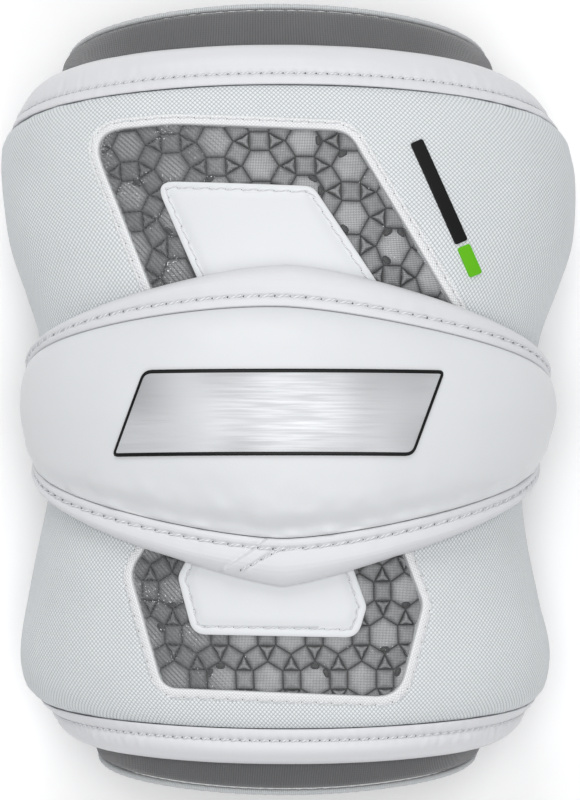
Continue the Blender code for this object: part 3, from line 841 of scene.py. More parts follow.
def new_group(name, inputs, outputs):
    """An empty shader node group, its wiring, its given inputs and its output node."""
    group = bpy.data.node_groups.new(name, "ShaderNodeTree")
    for label, value in inputs:
        kind = "NodeSocketVector" if value is None else "NodeSocketFloat"
        socket = group.interface.new_socket(label, in_out="INPUT", socket_type=kind)
        if value is not None:
            socket.default_value = value
    for label in outputs:
        group.interface.new_socket(label, in_out="OUTPUT", socket_type="NodeSocketFloat")
    given = group.nodes.new("NodeGroupInput").outputs
    return group, Wiring(group), given, group.nodes.new("NodeGroupOutput")


def weave_group():
    """Plain weave on the cloth's own pattern: height of the yarns, and how deep the gaps are."""
    group, w, given, out = new_group(
        "plain_weave", (("Pattern", None), ("Pitch", 0.0008), ("Turn", 0.8)), ("Height", "Gaps")
    )
    pattern = given["Pattern"]
    inputs = {"Vector": pattern, "Angle": given["Turn"]}
    turned = w.node("ShaderNodeVectorRotate", inputs, rotation_type="Z_AXIS")
    drift = w.node("ShaderNodeTexNoise", {"Vector": pattern, "Scale": 90.0, "Detail": 1.0})
    inputs = {0: drift.outputs["Color"], 1: (0.0006, 0.0006, 0.0), 2: turned.outputs[0]}
    moved = w.node("ShaderNodeVectorMath", inputs, operation="MULTIPLY_ADD")
    rate = w.math("DIVIDE", math.pi, given["Pitch"])
    waves = [
        w.math("SINE", w.math("MULTIPLY", part, rate)) for part in w.split(moved.outputs[0])[:2]
    ]
    product = w.math("MULTIPLY", *waves)
    yarn = w.math("POWER", w.math("ABSOLUTE", product), 0.5)
    over = w.math("GREATER_THAN", product, 0.0)
    height = w.mix(over, w.math("MULTIPLY", yarn, 0.72), yarn)
    w.drive(out, {"Height": height, "Gaps": w.range(yarn, 0.15, 0.85, 1.0, 0.0)})
    return group


def grain_group():
    """Fine leather grain and soft creases on the object's own coordinates."""
    group, w, given, out = new_group(
        "smooth_grain", (("Place", None), ("Size", 0.0012)), ("Height", "Soft")
    )
    place = given["Place"]
    rate = w.math("DIVIDE", 1.0, given["Size"])
    cells = w.node("ShaderNodeTexVoronoi", {"Vector": place, "Scale": rate}, feature="SMOOTH_F1")
    fine = w.math("MULTIPLY", w.noise(place, w.math("MULTIPLY", rate, 1.7), 3.0), 0.4)
    height = w.math("MULTIPLY_ADD", cells.outputs["Distance"], 0.6, fine)
    soft = w.noise(place, w.math("MULTIPLY", rate, 0.035))
    w.drive(out, {"Height": height, "Soft": soft})
    return group


def ribs_group():
    """Parallel ribs or cords on the cloth's own pattern, with small stitches across them."""
    group, w, given, out = new_group(
        "knit_ribs",
        (("Pattern", None), ("Pitch", 0.0009), ("Loop", 0.0006)),
        ("Height", "Gaps"),
    )
    across, along, _ = w.split(given["Pattern"])
    waves = []
    for part, size in ((across, given["Pitch"]), (along, given["Loop"])):
        rate = w.math("DIVIDE", math.pi, size)
        waves.append(w.math("ABSOLUTE", w.math("SINE", w.math("MULTIPLY", part, rate))))
    rib, loop = waves
    height = w.math("MULTIPLY_ADD", loop, 0.25, w.math("MULTIPLY", rib, 0.75))
    w.drive(out, {"Height": height, "Gaps": w.range(rib, 0.0, 0.6, 1.0, 0.0)})
    return group


def new_finish(name, colour, roughness, **plain):
    """A material, the wiring to add to it, and its shader with its plain values set."""
    finish = bpy.data.materials.new(name)
    finish.use_nodes = True
    finish.diffuse_color = (*colour, 1.0)
    shader = finish.node_tree.nodes["Principled BSDF"]
    shader.inputs["Base Color"].default_value = (*colour, 1.0)
    shader.inputs["Roughness"].default_value = roughness
    labels = {
        "metallic": "Metallic",
        "specular": "Specular IOR Level",
        "sheen": "Sheen Weight",
        "sheen_roughness": "Sheen Roughness",
        "emission": "Emission Strength",
    }
    for key, value in plain.items():
        shader.inputs[labels[key]].default_value = value
    return finish, Wiring(finish.node_tree), shader


def woven_finish(name, colour, pitch, groups, contrast=0.68):
    _, w, shader = new_finish(
        name, colour, 0.58, sheen=0.1, sheen_roughness=0.4, specular=0.35
    )
    inputs = {"Pattern": w.pattern(), "Pitch": pitch, "Turn": math.pi / 4}
    height, gaps = w.node("ShaderNodeGroup", inputs, node_tree=groups["weave"]).outputs
    clouds = w.math("MULTIPLY", w.noise(w.place(), 38.0, 3.0), 0.12)
    # Painted shade in the gaps between the yarns, deeper where the gap is deeper, with random
    # mottling
    shade = w.math("MULTIPLY_ADD", gaps, contrast, clouds)
    inputs = {
        "Base Color": w.tint(shade, colour, 1.12, 0.54),
        "Roughness": w.range(height, 0.0, 1.0, 0.75, 0.48),
        "Normal": w.bump(height, 0.00022),
    }
    w.drive(shader, inputs)


def leather_finish(name, colour, roughness, groups):
    _, w, shader = new_finish(name, colour, roughness, specular=0.42)
    inputs = {"Place": w.place(), "Size": 0.0009}
    height, soft = w.node("ShaderNodeGroup", inputs, node_tree=groups["grain"]).outputs
    inputs = {
        "Base Color": w.tint(soft, colour, 0.97, 1.02),
        "Roughness": w.range(soft, 0.3, 0.7, roughness - 0.05, roughness + 0.07),
        "Normal": w.bump(height, 0.00004, 0.55),
    }
    w.drive(shader, inputs)


def knit_finish(name, colour, groups):
    _, w, shader = new_finish(name, colour, 0.9, sheen=0.5, specular=0.2)
    inputs = {"Pattern": w.pattern(), "Pitch": 0.00095, "Loop": 0.0007}
    height, gaps = w.node("ShaderNodeGroup", inputs, node_tree=groups["ribs"]).outputs
    clouds = w.math("MULTIPLY", w.noise(w.place(), 60.0, 3.0), 0.3)
    # The valleys between the ribs are darkened: painted shade, with random mottling
    tint = w.tint(w.math("MULTIPLY_ADD", gaps, 0.5, clouds), colour, 1.25, 0.55)
    w.drive(shader, {"Base Color": tint, "Normal": w.bump(height, 0.00022, 0.9)})


def tape_finish(name, colour, pitch, groups):
    _, w, shader = new_finish(name, colour, 0.7, sheen=0.2)
    inputs = {"Pattern": w.pattern(), "Pitch": pitch, "Loop": pitch * 0.8}
    height, gaps = w.node("ShaderNodeGroup", inputs, node_tree=groups["ribs"]).outputs
    # The gaps between the cords are darkened: painted shade
    tint = w.tint(w.math("MULTIPLY", gaps, 0.6), colour, 1.0, 0.6)
    w.drive(shader, {"Base Color": tint, "Normal": w.bump(height, 0.00025, 0.9)})


def cell_finish(name, colour):
    """Moulded foam, whose cells differ a little in tone, with painted shade on each pillow's low
    rings and a painted highlight on its top.
    """
    _, w, shader = new_finish(name, colour, 0.5)
    # The tone attribute holds each cell's tone together with its painted ring shade and highlight
    tone = w.node("ShaderNodeAttribute", attribute_name="tone").outputs["Fac"]
    place = w.place()
    tint = w.tint(tone, colour, 0.5, 2.0)
    worn = w.node("ShaderNodeMix", {7: (*scaled(colour, 0.5), 1.0)}, data_type="RGBA")
    w.drive(worn, {0: w.range(w.noise(place, 160.0), 0.4, 0.75, 0.0, 0.22), 6: tint})
    bump = w.bump(w.noise(place, 700.0), 0.00008, 0.6)
    w.drive(shader, {"Base Color": worn.outputs[2], "Normal": bump})


def mesh_finish(name, colour, pitch):
    """Fine see-through net, with painted glints: a few near-white specks in patches. A diagonal
    hatch makes it denser and darker towards its left side.
    """
    _, w, shader = new_finish(name, colour, 0.45)
    pattern = w.pattern()
    across, along, _ = w.split(pattern)
    waves = [
        w.math("ABSOLUTE", w.math("SINE", w.math("MULTIPLY", part, math.pi / pitch)))
        for part in (across, along)
    ]
    net = w.range(w.math("MINIMUM", *waves), 0.30, 0.62, 1.0, 0.0)
    slant = w.math("SINE", w.math("MULTIPLY", w.math("ADD", across, along), 3600.0))
    side = w.range(w.math("MULTIPLY", across, -1.0), 0.012, 0.034)
    hatch = w.math("MULTIPLY", w.range(slant, 0.1, 0.9, 0.0, 0.22), side)
    # Painted glints: near-white specks on the yarns, in random patches
    grains = w.noise(pattern, 1700.0, 1.0)
    painted_sparkle = w.range(grains, w.mix(side, 0.73, 0.665), w.mix(side, 0.76, 0.70))
    patches = w.range(w.noise(pattern, 110.0), 0.48, 0.62)
    glint_share = w.math("MULTIPLY", painted_sparkle, patches)
    cover = w.math("MULTIPLY_ADD", net, 0.28, w.math("MULTIPLY_ADD", side, 0.06, hatch))
    inputs = {
        "Base Color": w.blend(glint_share, colour, (0.95, 0.96, 0.98)),
        "Alpha": w.math("MAXIMUM", cover, glint_share),
    }
    w.drive(shader, inputs)


def silver_finish(name, colour):
    _, w, shader = new_finish(name, colour, 0.55, metallic=0.5)
    place = w.place()
    stretched = w.node("ShaderNodeMapping", {"Vector": place, "Scale": (60.0, 1400.0, 60.0)})
    brushed = w.noise(stretched.outputs[0], 1.0, 3.0)
    inputs = {
        "Base Color": w.tint(w.range(w.noise(place, 26.0, 1.0), 0.35, 0.65), colour, 0.8, 1.15),
        "Roughness": w.range(brushed, 0.3, 0.7, 0.50, 0.66),
        "Normal": w.bump(brushed, 0.00002, 0.5),
    }
    w.drive(shader, inputs)


def print_finish(name, colour, roughness=0.5):
    """Raised rubber print."""
    _, w, shader = new_finish(name, colour, roughness, specular=0.3)
    place = w.place()
    tint = w.tint(w.noise(place, 120.0), colour, 0.85, 1.15)
    w.drive(shader, {"Base Color": tint, "Normal": w.bump(w.noise(place, 1500.0), 0.00003, 0.5)})


def thread_finish(name, colour):
    """Thread of two strands, twisted along each stitch, with painted shade between the strands and
    a painted highlight on them.
    """
    _, w, shader = new_finish(name, colour, 0.55)
    along, across, _ = w.split(w.pattern())
    twist = w.math("MULTIPLY_ADD", across, 19.0, w.math("MULTIPLY", along, 12.57))
    strands = w.range(w.math("SINE", twist), -0.6, 0.7)
    tint = w.tint(strands, colour, 0.80, 1.12)
    w.drive(shader, {"Base Color": tint, "Normal": w.bump(strands, 0.00008, 0.6)})


# Sizes and colours to change


def length_of(name, description, default, precision=4):
    return FloatProperty(
        name=name, description=description, default=default, precision=precision, unit="LENGTH"
    )


def colour_of(name, description, *default):
    return FloatVectorProperty(
        name=name, description=description, default=default, subtype="COLOR"
    )


class ElbowGuardSizes(PropertyGroup):
    """Sizes of the sewn detail. The stitches' lengths are in millimetres."""

    weave_pitch: length_of("Weave pitch", "From one yarn of the shells to the next", 0.00102, 5)
    mesh_pitch: length_of("Mesh pitch", "From one hole of the mesh to the next", 0.00050, 5)
    cell_spacing: length_of("Cell spacing", "Between the middles of two large cells", 0.0161)
    stitch_pitch: FloatProperty(
        name="Stitch pitch", description="One stitch round a window or patch", default=5.0
    )
    cap_stitch_pitch: FloatProperty(
        name="Cap stitch pitch", description="One stitch round the elbow cap", default=4.8
    )
    band_stitch_pitch: FloatProperty(
        name="Band stitch pitch", description="One stitch mid-way on a cuff band", default=3.5
    )
    wrinkles: FloatProperty(
        name="Wrinkles",
        description="How strongly the cloth is gathered",
        default=1.0,
        min=0.0,
        max=3.0,
        subtype="FACTOR",
    )


class ElbowGuardColours(PropertyGroup):
    """Colours of the pad, as linear values."""

    woven: colour_of("Woven nylon", "White cloth of the two shells", 0.755, 0.785, 0.80)
    hem: colour_of("Hem", "Folded cloth round the windows", 0.86, 0.87, 0.88)
    leather: colour_of("Leather", "White leather of cap and patches", 0.755, 0.770, 0.785)
    band: colour_of("Band leather", "White leather of cuffs and rim", 0.735, 0.738, 0.758)
    knit: colour_of("Knit", "Grey knit of the liner", 0.128, 0.129, 0.132)
    tape: colour_of("Tape", "Light grey piping of the liner", 0.62, 0.64, 0.65)
    foam: colour_of("Foam", "Grey cell foam in the windows", 0.27, 0.274, 0.278)
    net: colour_of("Window mesh", "Fine grey mesh over the foam", 0.16, 0.163, 0.168)
    thread: colour_of("Thread", "White sewing thread", 0.72, 0.73, 0.75)
    silver: colour_of("Silver", "Plate on the elbow cap", 0.60, 0.61, 0.625)
    black: colour_of("Black", "Raised black print", 0.003, 0.003, 0.0032)
    green: colour_of("Green", "Tip of the side bar", 0.12, 0.48, 0.006)
    webbing: colour_of("Webbing", "Elastic straps across the back", 0.66, 0.67, 0.69)


def sizes():
    return bpy.context.scene.elbow_guard_sizes


def finishes():
    """Every material by its name, made on first use."""
    colours = bpy.context.scene.elbow_guard_colours
    if "woven_nylon" not in bpy.data.materials:
        groups = {"weave": weave_group(), "grain": grain_group(), "ribs": ribs_group()}
        woven_finish("woven_nylon", colours.woven, sizes().weave_pitch, groups)
        # The hem's weave carries less painted gap shade
        woven_finish("folded_hem", colours.hem, sizes().weave_pitch * 0.8, groups, contrast=0.30)
        leather_finish("smooth_leather", colours.leather, 0.42, groups)
        leather_finish("band_leather", colours.band, 0.46, groups)
        knit_finish("ribbed_knit", colours.knit, groups)
        tape_finish("edge_tape", colours.tape, 0.0008, groups)
        tape_finish("elastic_webbing", colours.webbing, 0.0016, groups)
        cell_finish("cell_foam", colours.foam)
        # A darker copy of the foam: painted shade for the grooves between the cells and for the
        # vents
        cell_finish("foam_groove_shade", scaled(colours.foam, 0.30))
        mesh_finish("window_mesh", colours.net, sizes().mesh_pitch)
        silver_finish("silver_plate", colours.silver)
        print_finish("black_print", colours.black)
        print_finish("green_print", colours.green)
        thread_finish("sewing_thread", colours.thread)
        # Near-black grey for the balls at the needle holes: a painted shadow, not a colour of the
        # cloth
        print_finish("needle_hole_shadow", (0.11, 0.112, 0.118), 0.9)
    return bpy.data.materials


# Pieces


# Each side's seam, outlines and spans, and which way along the arm it lies
SIDES = {
    "upper": (UPPER_SEAM, UPPER_WINDOW, UPPER_PATCH, upper_shell_span, upper_band_span, 1.0),
    "lower": (-LOWER_SEAM, LOWER_WINDOW, LOWER_PATCH, lower_shell_span, lower_band_span, -1.0),
}


def window_rail(side):
    return front_rail(SIDES[side][1], SIDES[side][0])


def patch_rail(side):
    return front_rail(SIDES[side][2], SIDES[side][0])


# How far the stitches lie from the edge of the windows and patches, in millimetres
STITCH_MARGIN = {"upper": 2.0, "lower": 2.6}


def pull_in(shape, seam, lowest, depth, pull, width=0.5):
    """Pulls a flat shape's outer face in along a seam, and returns the heights it has then."""

    def rise(places):
        return np.where(places[:, 2] > lowest, seam.dent(places, depth, pull, width), 0.0)

    return Ground(raise_corners(shape, rise), lowest - (depth + pull) * MM)


class ELBOWGUARD_OT_shells(Operator):
    """Sew the two padded woven shells, open at their windows"""

    bl_idname = "elbow_guard.shells"
    bl_label = "Padded Shells"

    def execute(self, context):
        for side, (_, _, _, span, _, sign) in SIDES.items():
            rail = window_rail(side)
            tuck = np.array(TUCK) * MM
            inner = np.linspace(1.0, 0.0, 14)
            edge = np.array((0.0, 0.25, 0.8, 1.8, 3.2)) * MM
            edge_height = -SHELL_THICKNESS * np.array((0.5, 0.28, 0.12, 0.03, 0.0))

            def profile_at(angle):
                start, end = span(angle)
                length = abs(end - start)
                middle = np.linspace(4.6 * MM, length - 8.0 * MM, 66)
                far = length - tuck[::-1, 0]
                run = np.concatenate((edge, middle, far, inner * length))
                height = np.concatenate(
                    (
                        edge_height,
                        np.zeros(len(middle)),
                        tuck[::-1, 1],
                        np.full(len(inner), -SHELL_THICKNESS),
                    )
                )
                share = rounded_end(angle, WING_ANGLE)
                height = -SHELL_THICKNESS / 2 + (height + SHELL_THICKNESS / 2) * share
                return start + sign * run, height

            shape = layer_shape(fine_angles(WING_ANGLE, 236), profile_at)
            shape = cut_flat(shape, rail, "DIFFERENCE")
            raise_corners(shape, lambda places: self.relief(places, rail, span))
            name = f"{side}_padded_shell"
            add_piece(name, shape, ["woven_nylon"], [f"{side}_shell"])
            hem = strip_shape(rail, HEM_PROFILE)
            seam = Seam(rail, STITCH_MARGIN[side], sizes().stitch_pitch)
            ground = pull_in(hem, seam, -0.4 * MM, 0.14, 0.30)
            add_piece(f"{side}_window_hem", hem, ["folded_hem"])
            add_stitches(f"{side}_window_stitches", [(seam, 0.27)], ground)
        return {"FINISHED"}

    def relief(self, places, rail, span):
        """How far the outer face rises or falls over the plain shell."""
        angle = angle_of(places[:, 0])
        wrinkles = sizes().wrinkles
        outer = smooth_step((places[:, 2] + 0.0055) / 0.003)
        to_window = rail.distance(places)
        to_cuff = np.abs(span(angle)[1] - places[:, 1])
        side = smooth_step((np.abs(angle) - 0.35) / 0.9)
        under_hem = -0.45 * MM * smooth_step((3.2 * MM - to_window) / (0.8 * MM))
        beside_hem = -0.35 * MM * np.exp(-np.maximum(to_window - 2.8 * MM, 0.0) / (2.2 * MM))
        puckers = 0.16 * MM * rough(places, 0.0034, 3.0)
        puckers *= np.exp(-np.maximum(to_window - 3 * MM, 0.0) / (4 * MM))
        gathers = (0.25 + 0.75 * side) * 0.55 * MM * rough(places, 0.016, 8.0, across=0.28)
        gathers *= np.exp(-to_cuff / (6.5 * MM))
        swells = 0.80 * rough(places, 0.034, 14.0) + 0.20 * rough(places, 0.015, 16.0)
        swells *= MM * (0.3 + 0.9 * side)
        return outer * (under_hem + beside_hem + wrinkles * (puckers + gathers + swells))


# Middle of one large cell in each window, seen from the front, and the tiling's turn in degrees
CELL_START = {"upper": ((-0.0088, 0.0729), 0), "lower": ((-0.0063, -0.0900), 30)}

# For cells of so many sides: how far the sides bulge and the corners draw in, then each ring's
# width and rise, in millimetres
PILLOWS = {
    6: (0.12, 0.45, ((0.45, 0.45), (0.95, 0.50), (1.70, 0.36))),
    4: (0.28, 0.55, ((0.35, 0.42), (0.70, 0.42), (0.85, 0.15))),
    3: (-0.40, 0.20, ((0.20, 0.35), (0.28, 0.25), (0.26, 0.08))),
}


class Polygon:
    """Tells whether a flat point lies inside an outline, with some room to spare or to lack."""

    def __init__(self, points):
        self.points = np.asarray(points)

    def holds(self, place, room):
        x, y = place
        start, end = self.points, np.roll(self.points, -1, axis=0)
        crosses = (start[:, 1] > y) != (end[:, 1] > y)
        rise = np.where(crosses, end[:, 1] - start[:, 1], 1.0)
        meet = start[:, 0] + (y - start[:, 1]) * (end[:, 0] - start[:, 0]) / rise
        inside = np.count_nonzero(crosses & (x < meet)) % 2 == 1
        nearest = np.hypot(*(self.points - place).T).min()
        if inside:
            return room >= 0.0 or nearest > -room
        return nearest < room


def way(degrees):
    return np.array((math.cos(math.radians(degrees)), math.sin(math.radians(degrees))))


def unit_cells(middle, turn, spacing):
    """Centre, sides, heading and tone of a hexagon and the cells it comes with."""
    yield middle, 6, math.radians(turn), 0.92
    for degrees in (30, 90, 150):
        centre = middle + way(turn + degrees) * spacing / 2
        yield centre, 4, math.radians(turn + degrees + 45), 0.46
    for degrees in (0, 60):
        centre = middle + way(turn + degrees) * spacing / math.sqrt(3.0)
        yield centre, 3, math.radians(turn + degrees + 180), 0.42


class ELBOWGUARD_OT_windows(Operator):
    """Mould the cell foam of the windows and stretch the fine mesh over it"""

    bl_idname = "elbow_guard.windows"
    bl_label = "Foam Windows"

    def execute(self, context):
        for side in SIDES:
            rail = window_rail(side)
            # The backing is darkened as painted shade, seen at the bottom of the grooves between
            # the cells
            backing = slab_shape(rail.moved(-0.3 * MM), 0.004, -8.8, -4.3)
            name = f"{side}_foam_backing"
            add_piece(name, backing, ["foam_groove_shade"], [f"{side}_cell_insert"])
            cells = self.cells(side, rail)
            piece = add_piece(f"{side}_foam_cells", cells, ["cell_foam", "foam_groove_shade"])
            edge = rail.moved(0.6 * MM)
            net = slab_shape(edge, 0.003, -1.75, -1.65)
            cloth = add_piece(f"{side}_window_mesh", net, ["window_mesh"])
            cut = edge.points
            after = np.roll(cut, -1, axis=0)
            np.ptp(cut, axis=0)
        return {"FINISHED"}

    def cells(self, side, rail):
        """Pillows of a tiling of hexagons, squares and triangles, and dark balls between them that
        paint the shade in the vents.
        """
        spacing = sizes().cell_spacing
        seen, turn = CELL_START[side]
        start = unwrap_front(np.array([seen]))[0]
        reach = int(np.ptp(rail.points, axis=0).max() / spacing) + 2
        inside = Polygon(rail.points)
        covered = Polygon(patch_rail(side).moved(-3.0 * MM).points)
        steps = [way(turn + degrees) * spacing for degrees in (30, 90)]
        shape = bmesh.new()
        tone_and_shade_layer = shape.verts.layers.float.new("tone")
        vent_shadows = []
        for i in range(-reach, reach + 1):
            for j in range(-reach, reach + 1):
                middle = start + steps[0] * i + steps[1] * j
                for centre, sides, heading, tone in unit_cells(middle, turn, spacing):
                    if not inside.holds(centre, 4.5 * MM) or covered.holds(centre, 0.0):
                        continue
                    tone += 0.10 * noise.noise(Vector((*centre * 90.0, 2.0)))
                    rings = self.pillow(shape, centre, sides, heading, spacing)
                    # Each ring's tone grows with its height: painted shade at the pillow's base and
                    # a painted highlight on its top
                    for ring, share in zip(rings, (-0.2, 0.05, 0.5, 0.95, 1.3)):
                        for corner in ring:
                            corner[tone_and_shade_layer] = tone * share
                for k, degrees in enumerate((60, 240, 0, 120)):
                    pick = noise.cell(Vector((i * 3.7 + k, j * 5.1, degrees)))
                    place = middle + way(turn + degrees) * 0.27 * spacing
                    shown = inside.holds(place, -1.5 * MM) and not covered.holds(place, 0.0)
                    if shown and pick > (0.20, 0.20, 0.75, 0.65)[k]:
                        vent_shadows.append((place, turn + degrees + 90))
        # Each vent shadow is a flat dark ball: a painted shadow in the vent's opening
        for place, degrees in vent_shadows:
            size = Matrix.Diagonal((1.7 * MM, 1.05 * MM, 0.55 * MM, 1.0))
            heading = Matrix.Rotation(math.radians(degrees), 4, "Z")
            matrix = Matrix.Translation((*place, -2.22 * MM)) @ heading @ size
            add_ball(shape, matrix, (10, 5), material=1)
        return shape

    def pillow(self, shape, centre, sides, heading, spacing):
        """One cell: a polygon whose sides curve, raised and rounded off in rings."""
        edge = spacing / (1.0 + math.sqrt(3.0))
        bulge, rounding, rings = PILLOWS[sides]
        matrix = Matrix.Translation((*centre, -4.6 * MM)) @ Matrix.Rotation(
            heading - math.pi / 2, 4, "Z"
        )
        made = bmesh.ops.create_circle(
            shape,
            cap_ends=True,
            segments=sides,
            radius=edge / (2 * math.sin(math.pi / sides)),
            matrix=matrix,
        )
        face = made["verts"][0].link_faces[0]
        bmesh.ops.inset_individual(shape, faces=[face], thickness=0.32 * MM)
        rest = [other for edge in face.edges for other in edge.link_faces if other != face]
        bmesh.ops.delete(shape, geom=rest, context="FACES")
        corners = set(face.verts)
        bmesh.ops.subdivide_edges(shape, edges=list(face.edges), cuts=1)
        for corner in face.verts:
            away = corner.co - Vector((*centre, corner.co.z))
            reach = -rounding if corner in corners else bulge
            corner.co += away.normalized() * reach * MM
        made = bmesh.ops.extrude_face_region(
            shape, geom=[face, *face.edges], use_keep_orig=True
        )
        top = next(item for item in made["geom"] if isinstance(item, bmesh.types.BMFace))
        bmesh.ops.translate(shape, verts=list(top.verts), vec=(0.0, 0.0, 1.5 * MM))
        corners = [set(face.verts), set(top.verts)]
        for thickness, depth in rings:
            bmesh.ops.inset_individual(
                shape, faces=[top], thickness=thickness * MM, depth=depth * MM
            )
            corners.append(set(top.verts))
        return corners


class ELBOWGUARD_OT_patches(Operator):
    """Sew the smooth centre patches onto the windows"""

    bl_idname = "elbow_guard.patches"
    bl_label = "Centre Patches"

    def execute(self, context):
        for side in SIDES:
            rail = patch_rail(side)
            inner = rail.moved(-(STITCH_MARGIN[side] + 0.1) * MM)
            shape = slab_shape(inner, 0.0011, -1.5, -0.62)
            raise_corners(shape, lambda places: self.relief(places, inner))
            slot, finish = "white_smooth_leather", ["smooth_leather"]
            add_piece(f"{side}_patch", shape, finish, [f"{side}_centre_patch"])
            rim = strip_shape(rail, [(-out, up) for out, up in PATCH_RIM_PROFILE])
            seam = Seam(rail, -STITCH_MARGIN[side], sizes().stitch_pitch)
            ground = pull_in(rim, seam, -0.7 * MM, 0.12, 0.25)
            add_piece(f"{side}_patch_rim", rim, finish)
            add_stitches(f"{side}_patch_stitches", [(seam, 0.25)], ground)
        return {"FINISHED"}

    def relief(self, places, edge):
        """The patch's slight puff, with soft dents, over its flat edge."""
        inside = smooth_step(edge.distance(places) / (2.6 * MM))
        soft = 0.08 * MM * rough(places, 0.012, 5.0)
        return (places[:, 2] > -1.0 * MM) * (0.52 * MM * inside + soft * inside)


class ELBOWGUARD_OT_bands(Operator):
    """Roll and top-stitch the leather bands of the two cuffs"""

    bl_idname = "elbow_guard.bands"
    bl_label = "Cuff Bands"

    def execute(self, context):
        for side, (_, _, _, _, span, sign) in SIDES.items():
            reach = UPPER_BAND_REACH if side == "upper" else LOWER_BAND_REACH
            profile = np.array(BAND_PROFILE) * MM
            squeeze = (reach / MM - 4.6) / (14.5 - 4.6)
            past = np.maximum(profile[:, 0] - 4.6 * MM, 0.0)
            profile[:, 0] = np.minimum(profile[:, 0], 4.6 * MM) + past * squeeze

            def profile_at(angle):
                start, _ = span(angle)
                share = rounded_end(angle, WING_ANGLE)
                height = -SHELL_THICKNESS / 2 + (profile[:, 1] + SHELL_THICKNESS / 2) * share
                return start + sign * profile[:, 0], height

            shape = layer_shape(fine_angles(WING_ANGLE, 640), profile_at)
            rail = cuff_rail(span, WING_ANGLE - WING_ROUNDING, 0)
            seam = Seam(rail, sign * 3.5, sizes().band_stitch_pitch, crowd=0.4)
            raise_corners(shape, lambda places: self.gathers(places, span, sign))
            ground = pull_in(shape, seam, -2.5 * MM, 0.18, 0.45, 0.75)
            slot, name = "white_smooth_leather", f"{side}_cuff_band"
            add_piece(name, shape, ["band_leather"], [f"{side}_edge_band"])
            add_stitches(f"{side}_band_stitches", [(seam, 0.40)], ground)
        return {"FINISHED"}

    def gathers(self, places, span, sign):
        angle = angle_of(places[:, 0])
        run = sign * (places[:, 1] - span(angle)[0])
        outer = smooth_step((places[:, 2] + 0.0080) / 0.004)
        side = smooth_step((np.abs(angle) - 0.45) / 0.75)
        past = smooth_step((run - 0.0036) / 0.003)
        before = smooth_step((0.0034 - run) / 0.0015)
        fine = rough(places, 0.018, 21.0, across=0.15)
        fade = np.exp(-np.maximum(run - 6.0 * MM, 0.0) / (4.0 * MM))
        broad = rough(places, 0.024, 25.0, across=0.5)
        pinch = rough(places, 0.006, 29.0, across=0.45)
        roll = past * ((0.10 + 0.75 * side) * fine * fade + 0.25 * broad)
        return sizes().wrinkles * MM * outer * (roll + before * (0.16 + 0.25 * side) * pinch)


class ELBOWGUARD_OT_liner(Operator):
    """Knit the padded liner and its piping"""

    bl_idname = "elbow_guard.liner"
    bl_label = "Liner"

    def execute(self, context):
        end = np.array(((0.0, 0.5), (0.25, 0.24), (0.8, 0.08), (1.6, 0.01)))

        def profile_at(angle):
            start, finish = liner_span(angle)
            length = finish - start
            edge = end[:, 0] * MM
            middle = np.linspace(2.4 * MM, length - 2.4 * MM, 88)
            run = np.concatenate((edge, middle, length - edge[::-1]))
            depth = np.concatenate((end[:, 1], np.zeros(len(middle)), end[::-1, 1]))
            inner = np.linspace(length - 0.8 * MM, 0.8 * MM, 60)
            run = np.concatenate((run, inner))
            depth = np.concatenate((depth, np.ones(len(inner))))
            share = 0.5 + (depth - 0.5) * rounded_end(angle, LINER_ANGLE)
            return start + run, LINER_TOP - LINER_THICKNESS * share

        shape = layer_shape(fine_angles(LINER_ANGLE, 210), profile_at)
        raise_corners(shape, self.padding)
        add_piece("padded_liner", shape, ["ribbed_knit"], ["liner"])
        for index, side in enumerate(("lower", "upper")):
            self.piping(side, index)
        return {"FINISHED"}

    def padding(self, places):
        """Soft swells where the padding is thick, and a shallow channel near each cuff."""
        angle = angle_of(places[:, 0])
        spans = liner_span(angle)
        to_end = np.minimum(np.abs(places[:, 1] - spans[0]), np.abs(spans[1] - places[:, 1]))
        outer = np.where(places[:, 2] > LINER_TOP - LINER_THICKNESS / 2, 1.0, -1.0)
        channel = -0.5 * MM * np.exp(-(((to_end - 7.5 * MM) / (1.4 * MM)) ** 2))
        swell = 0.25 * MM * rough(places, 0.03, 33.0) * smooth_step(to_end / (4 * MM))
        free = (to_end < 13 * MM) | (outer < 0.0)
        return np.where(free, outer * (channel + swell), 0.0)

    def piping(self, side, index):
        angles = fine_angles(LINER_ANGLE, 260)
        sign = -1.0 if index == 0 else 1.0
        station = liner_span(angles)[index] + sign * (SEAM_GAP + TRIM_RADIUS * 0.9)
        rail = Rail(np.stack((round_of(angles), station), axis=1), step=0.0012, closed=False)
        turns = np.radians(np.arange(12) * 30.0)
        middle = LINER_TOP - LINER_THICKNESS / 2

        def flat_at(column, row):
            turn = turns[row % 12]
            reach = TRIM_RADIUS * (1.0 + 0.10 * np.sin(column * 1.7) * np.sin(column * 0.31))
            place = rail.points[column] + rail.out[column] * (reach * np.cos(turn))[:, None]
            return np.column_stack((place, middle + 1.5 * reach * np.sin(turn)))

        def pattern_at(column, row):
            return np.column_stack((rail.run[column], row * 0.0006))

        shape = grid_shape(rail.count, 12, flat_at, pattern_at)
        close_up(shape, ends=True)
        name, replaced = f"{side}_piping", [f"liner_trim_{side}"]
        add_piece(name, shape, ["edge_tape"], replaced)


# Elbow cap


def cap_outline(outline, turn, widening=0.0):
    """Angle and station of the points of a cap outline."""
    station, half_angle, upper, lower = outline
    across, along = np.cos(turn), np.sin(turn)
    half_height = np.where(along > 0.0, upper[0], lower[0])
    squareness = np.where(along > 0.0, upper[1], lower[1])
    skew = np.where(along > 0.0, upper[2], lower[2])
    reach = (np.abs(across) ** squareness + np.abs(along) ** squareness) ** (-1.0 / squareness)
    half_angle = half_angle + widening / HALF_WIDTH
    half_height = half_height * (1.0 - skew * reach * across) + widening
    return reach * across * half_angle, station + reach * along * half_height


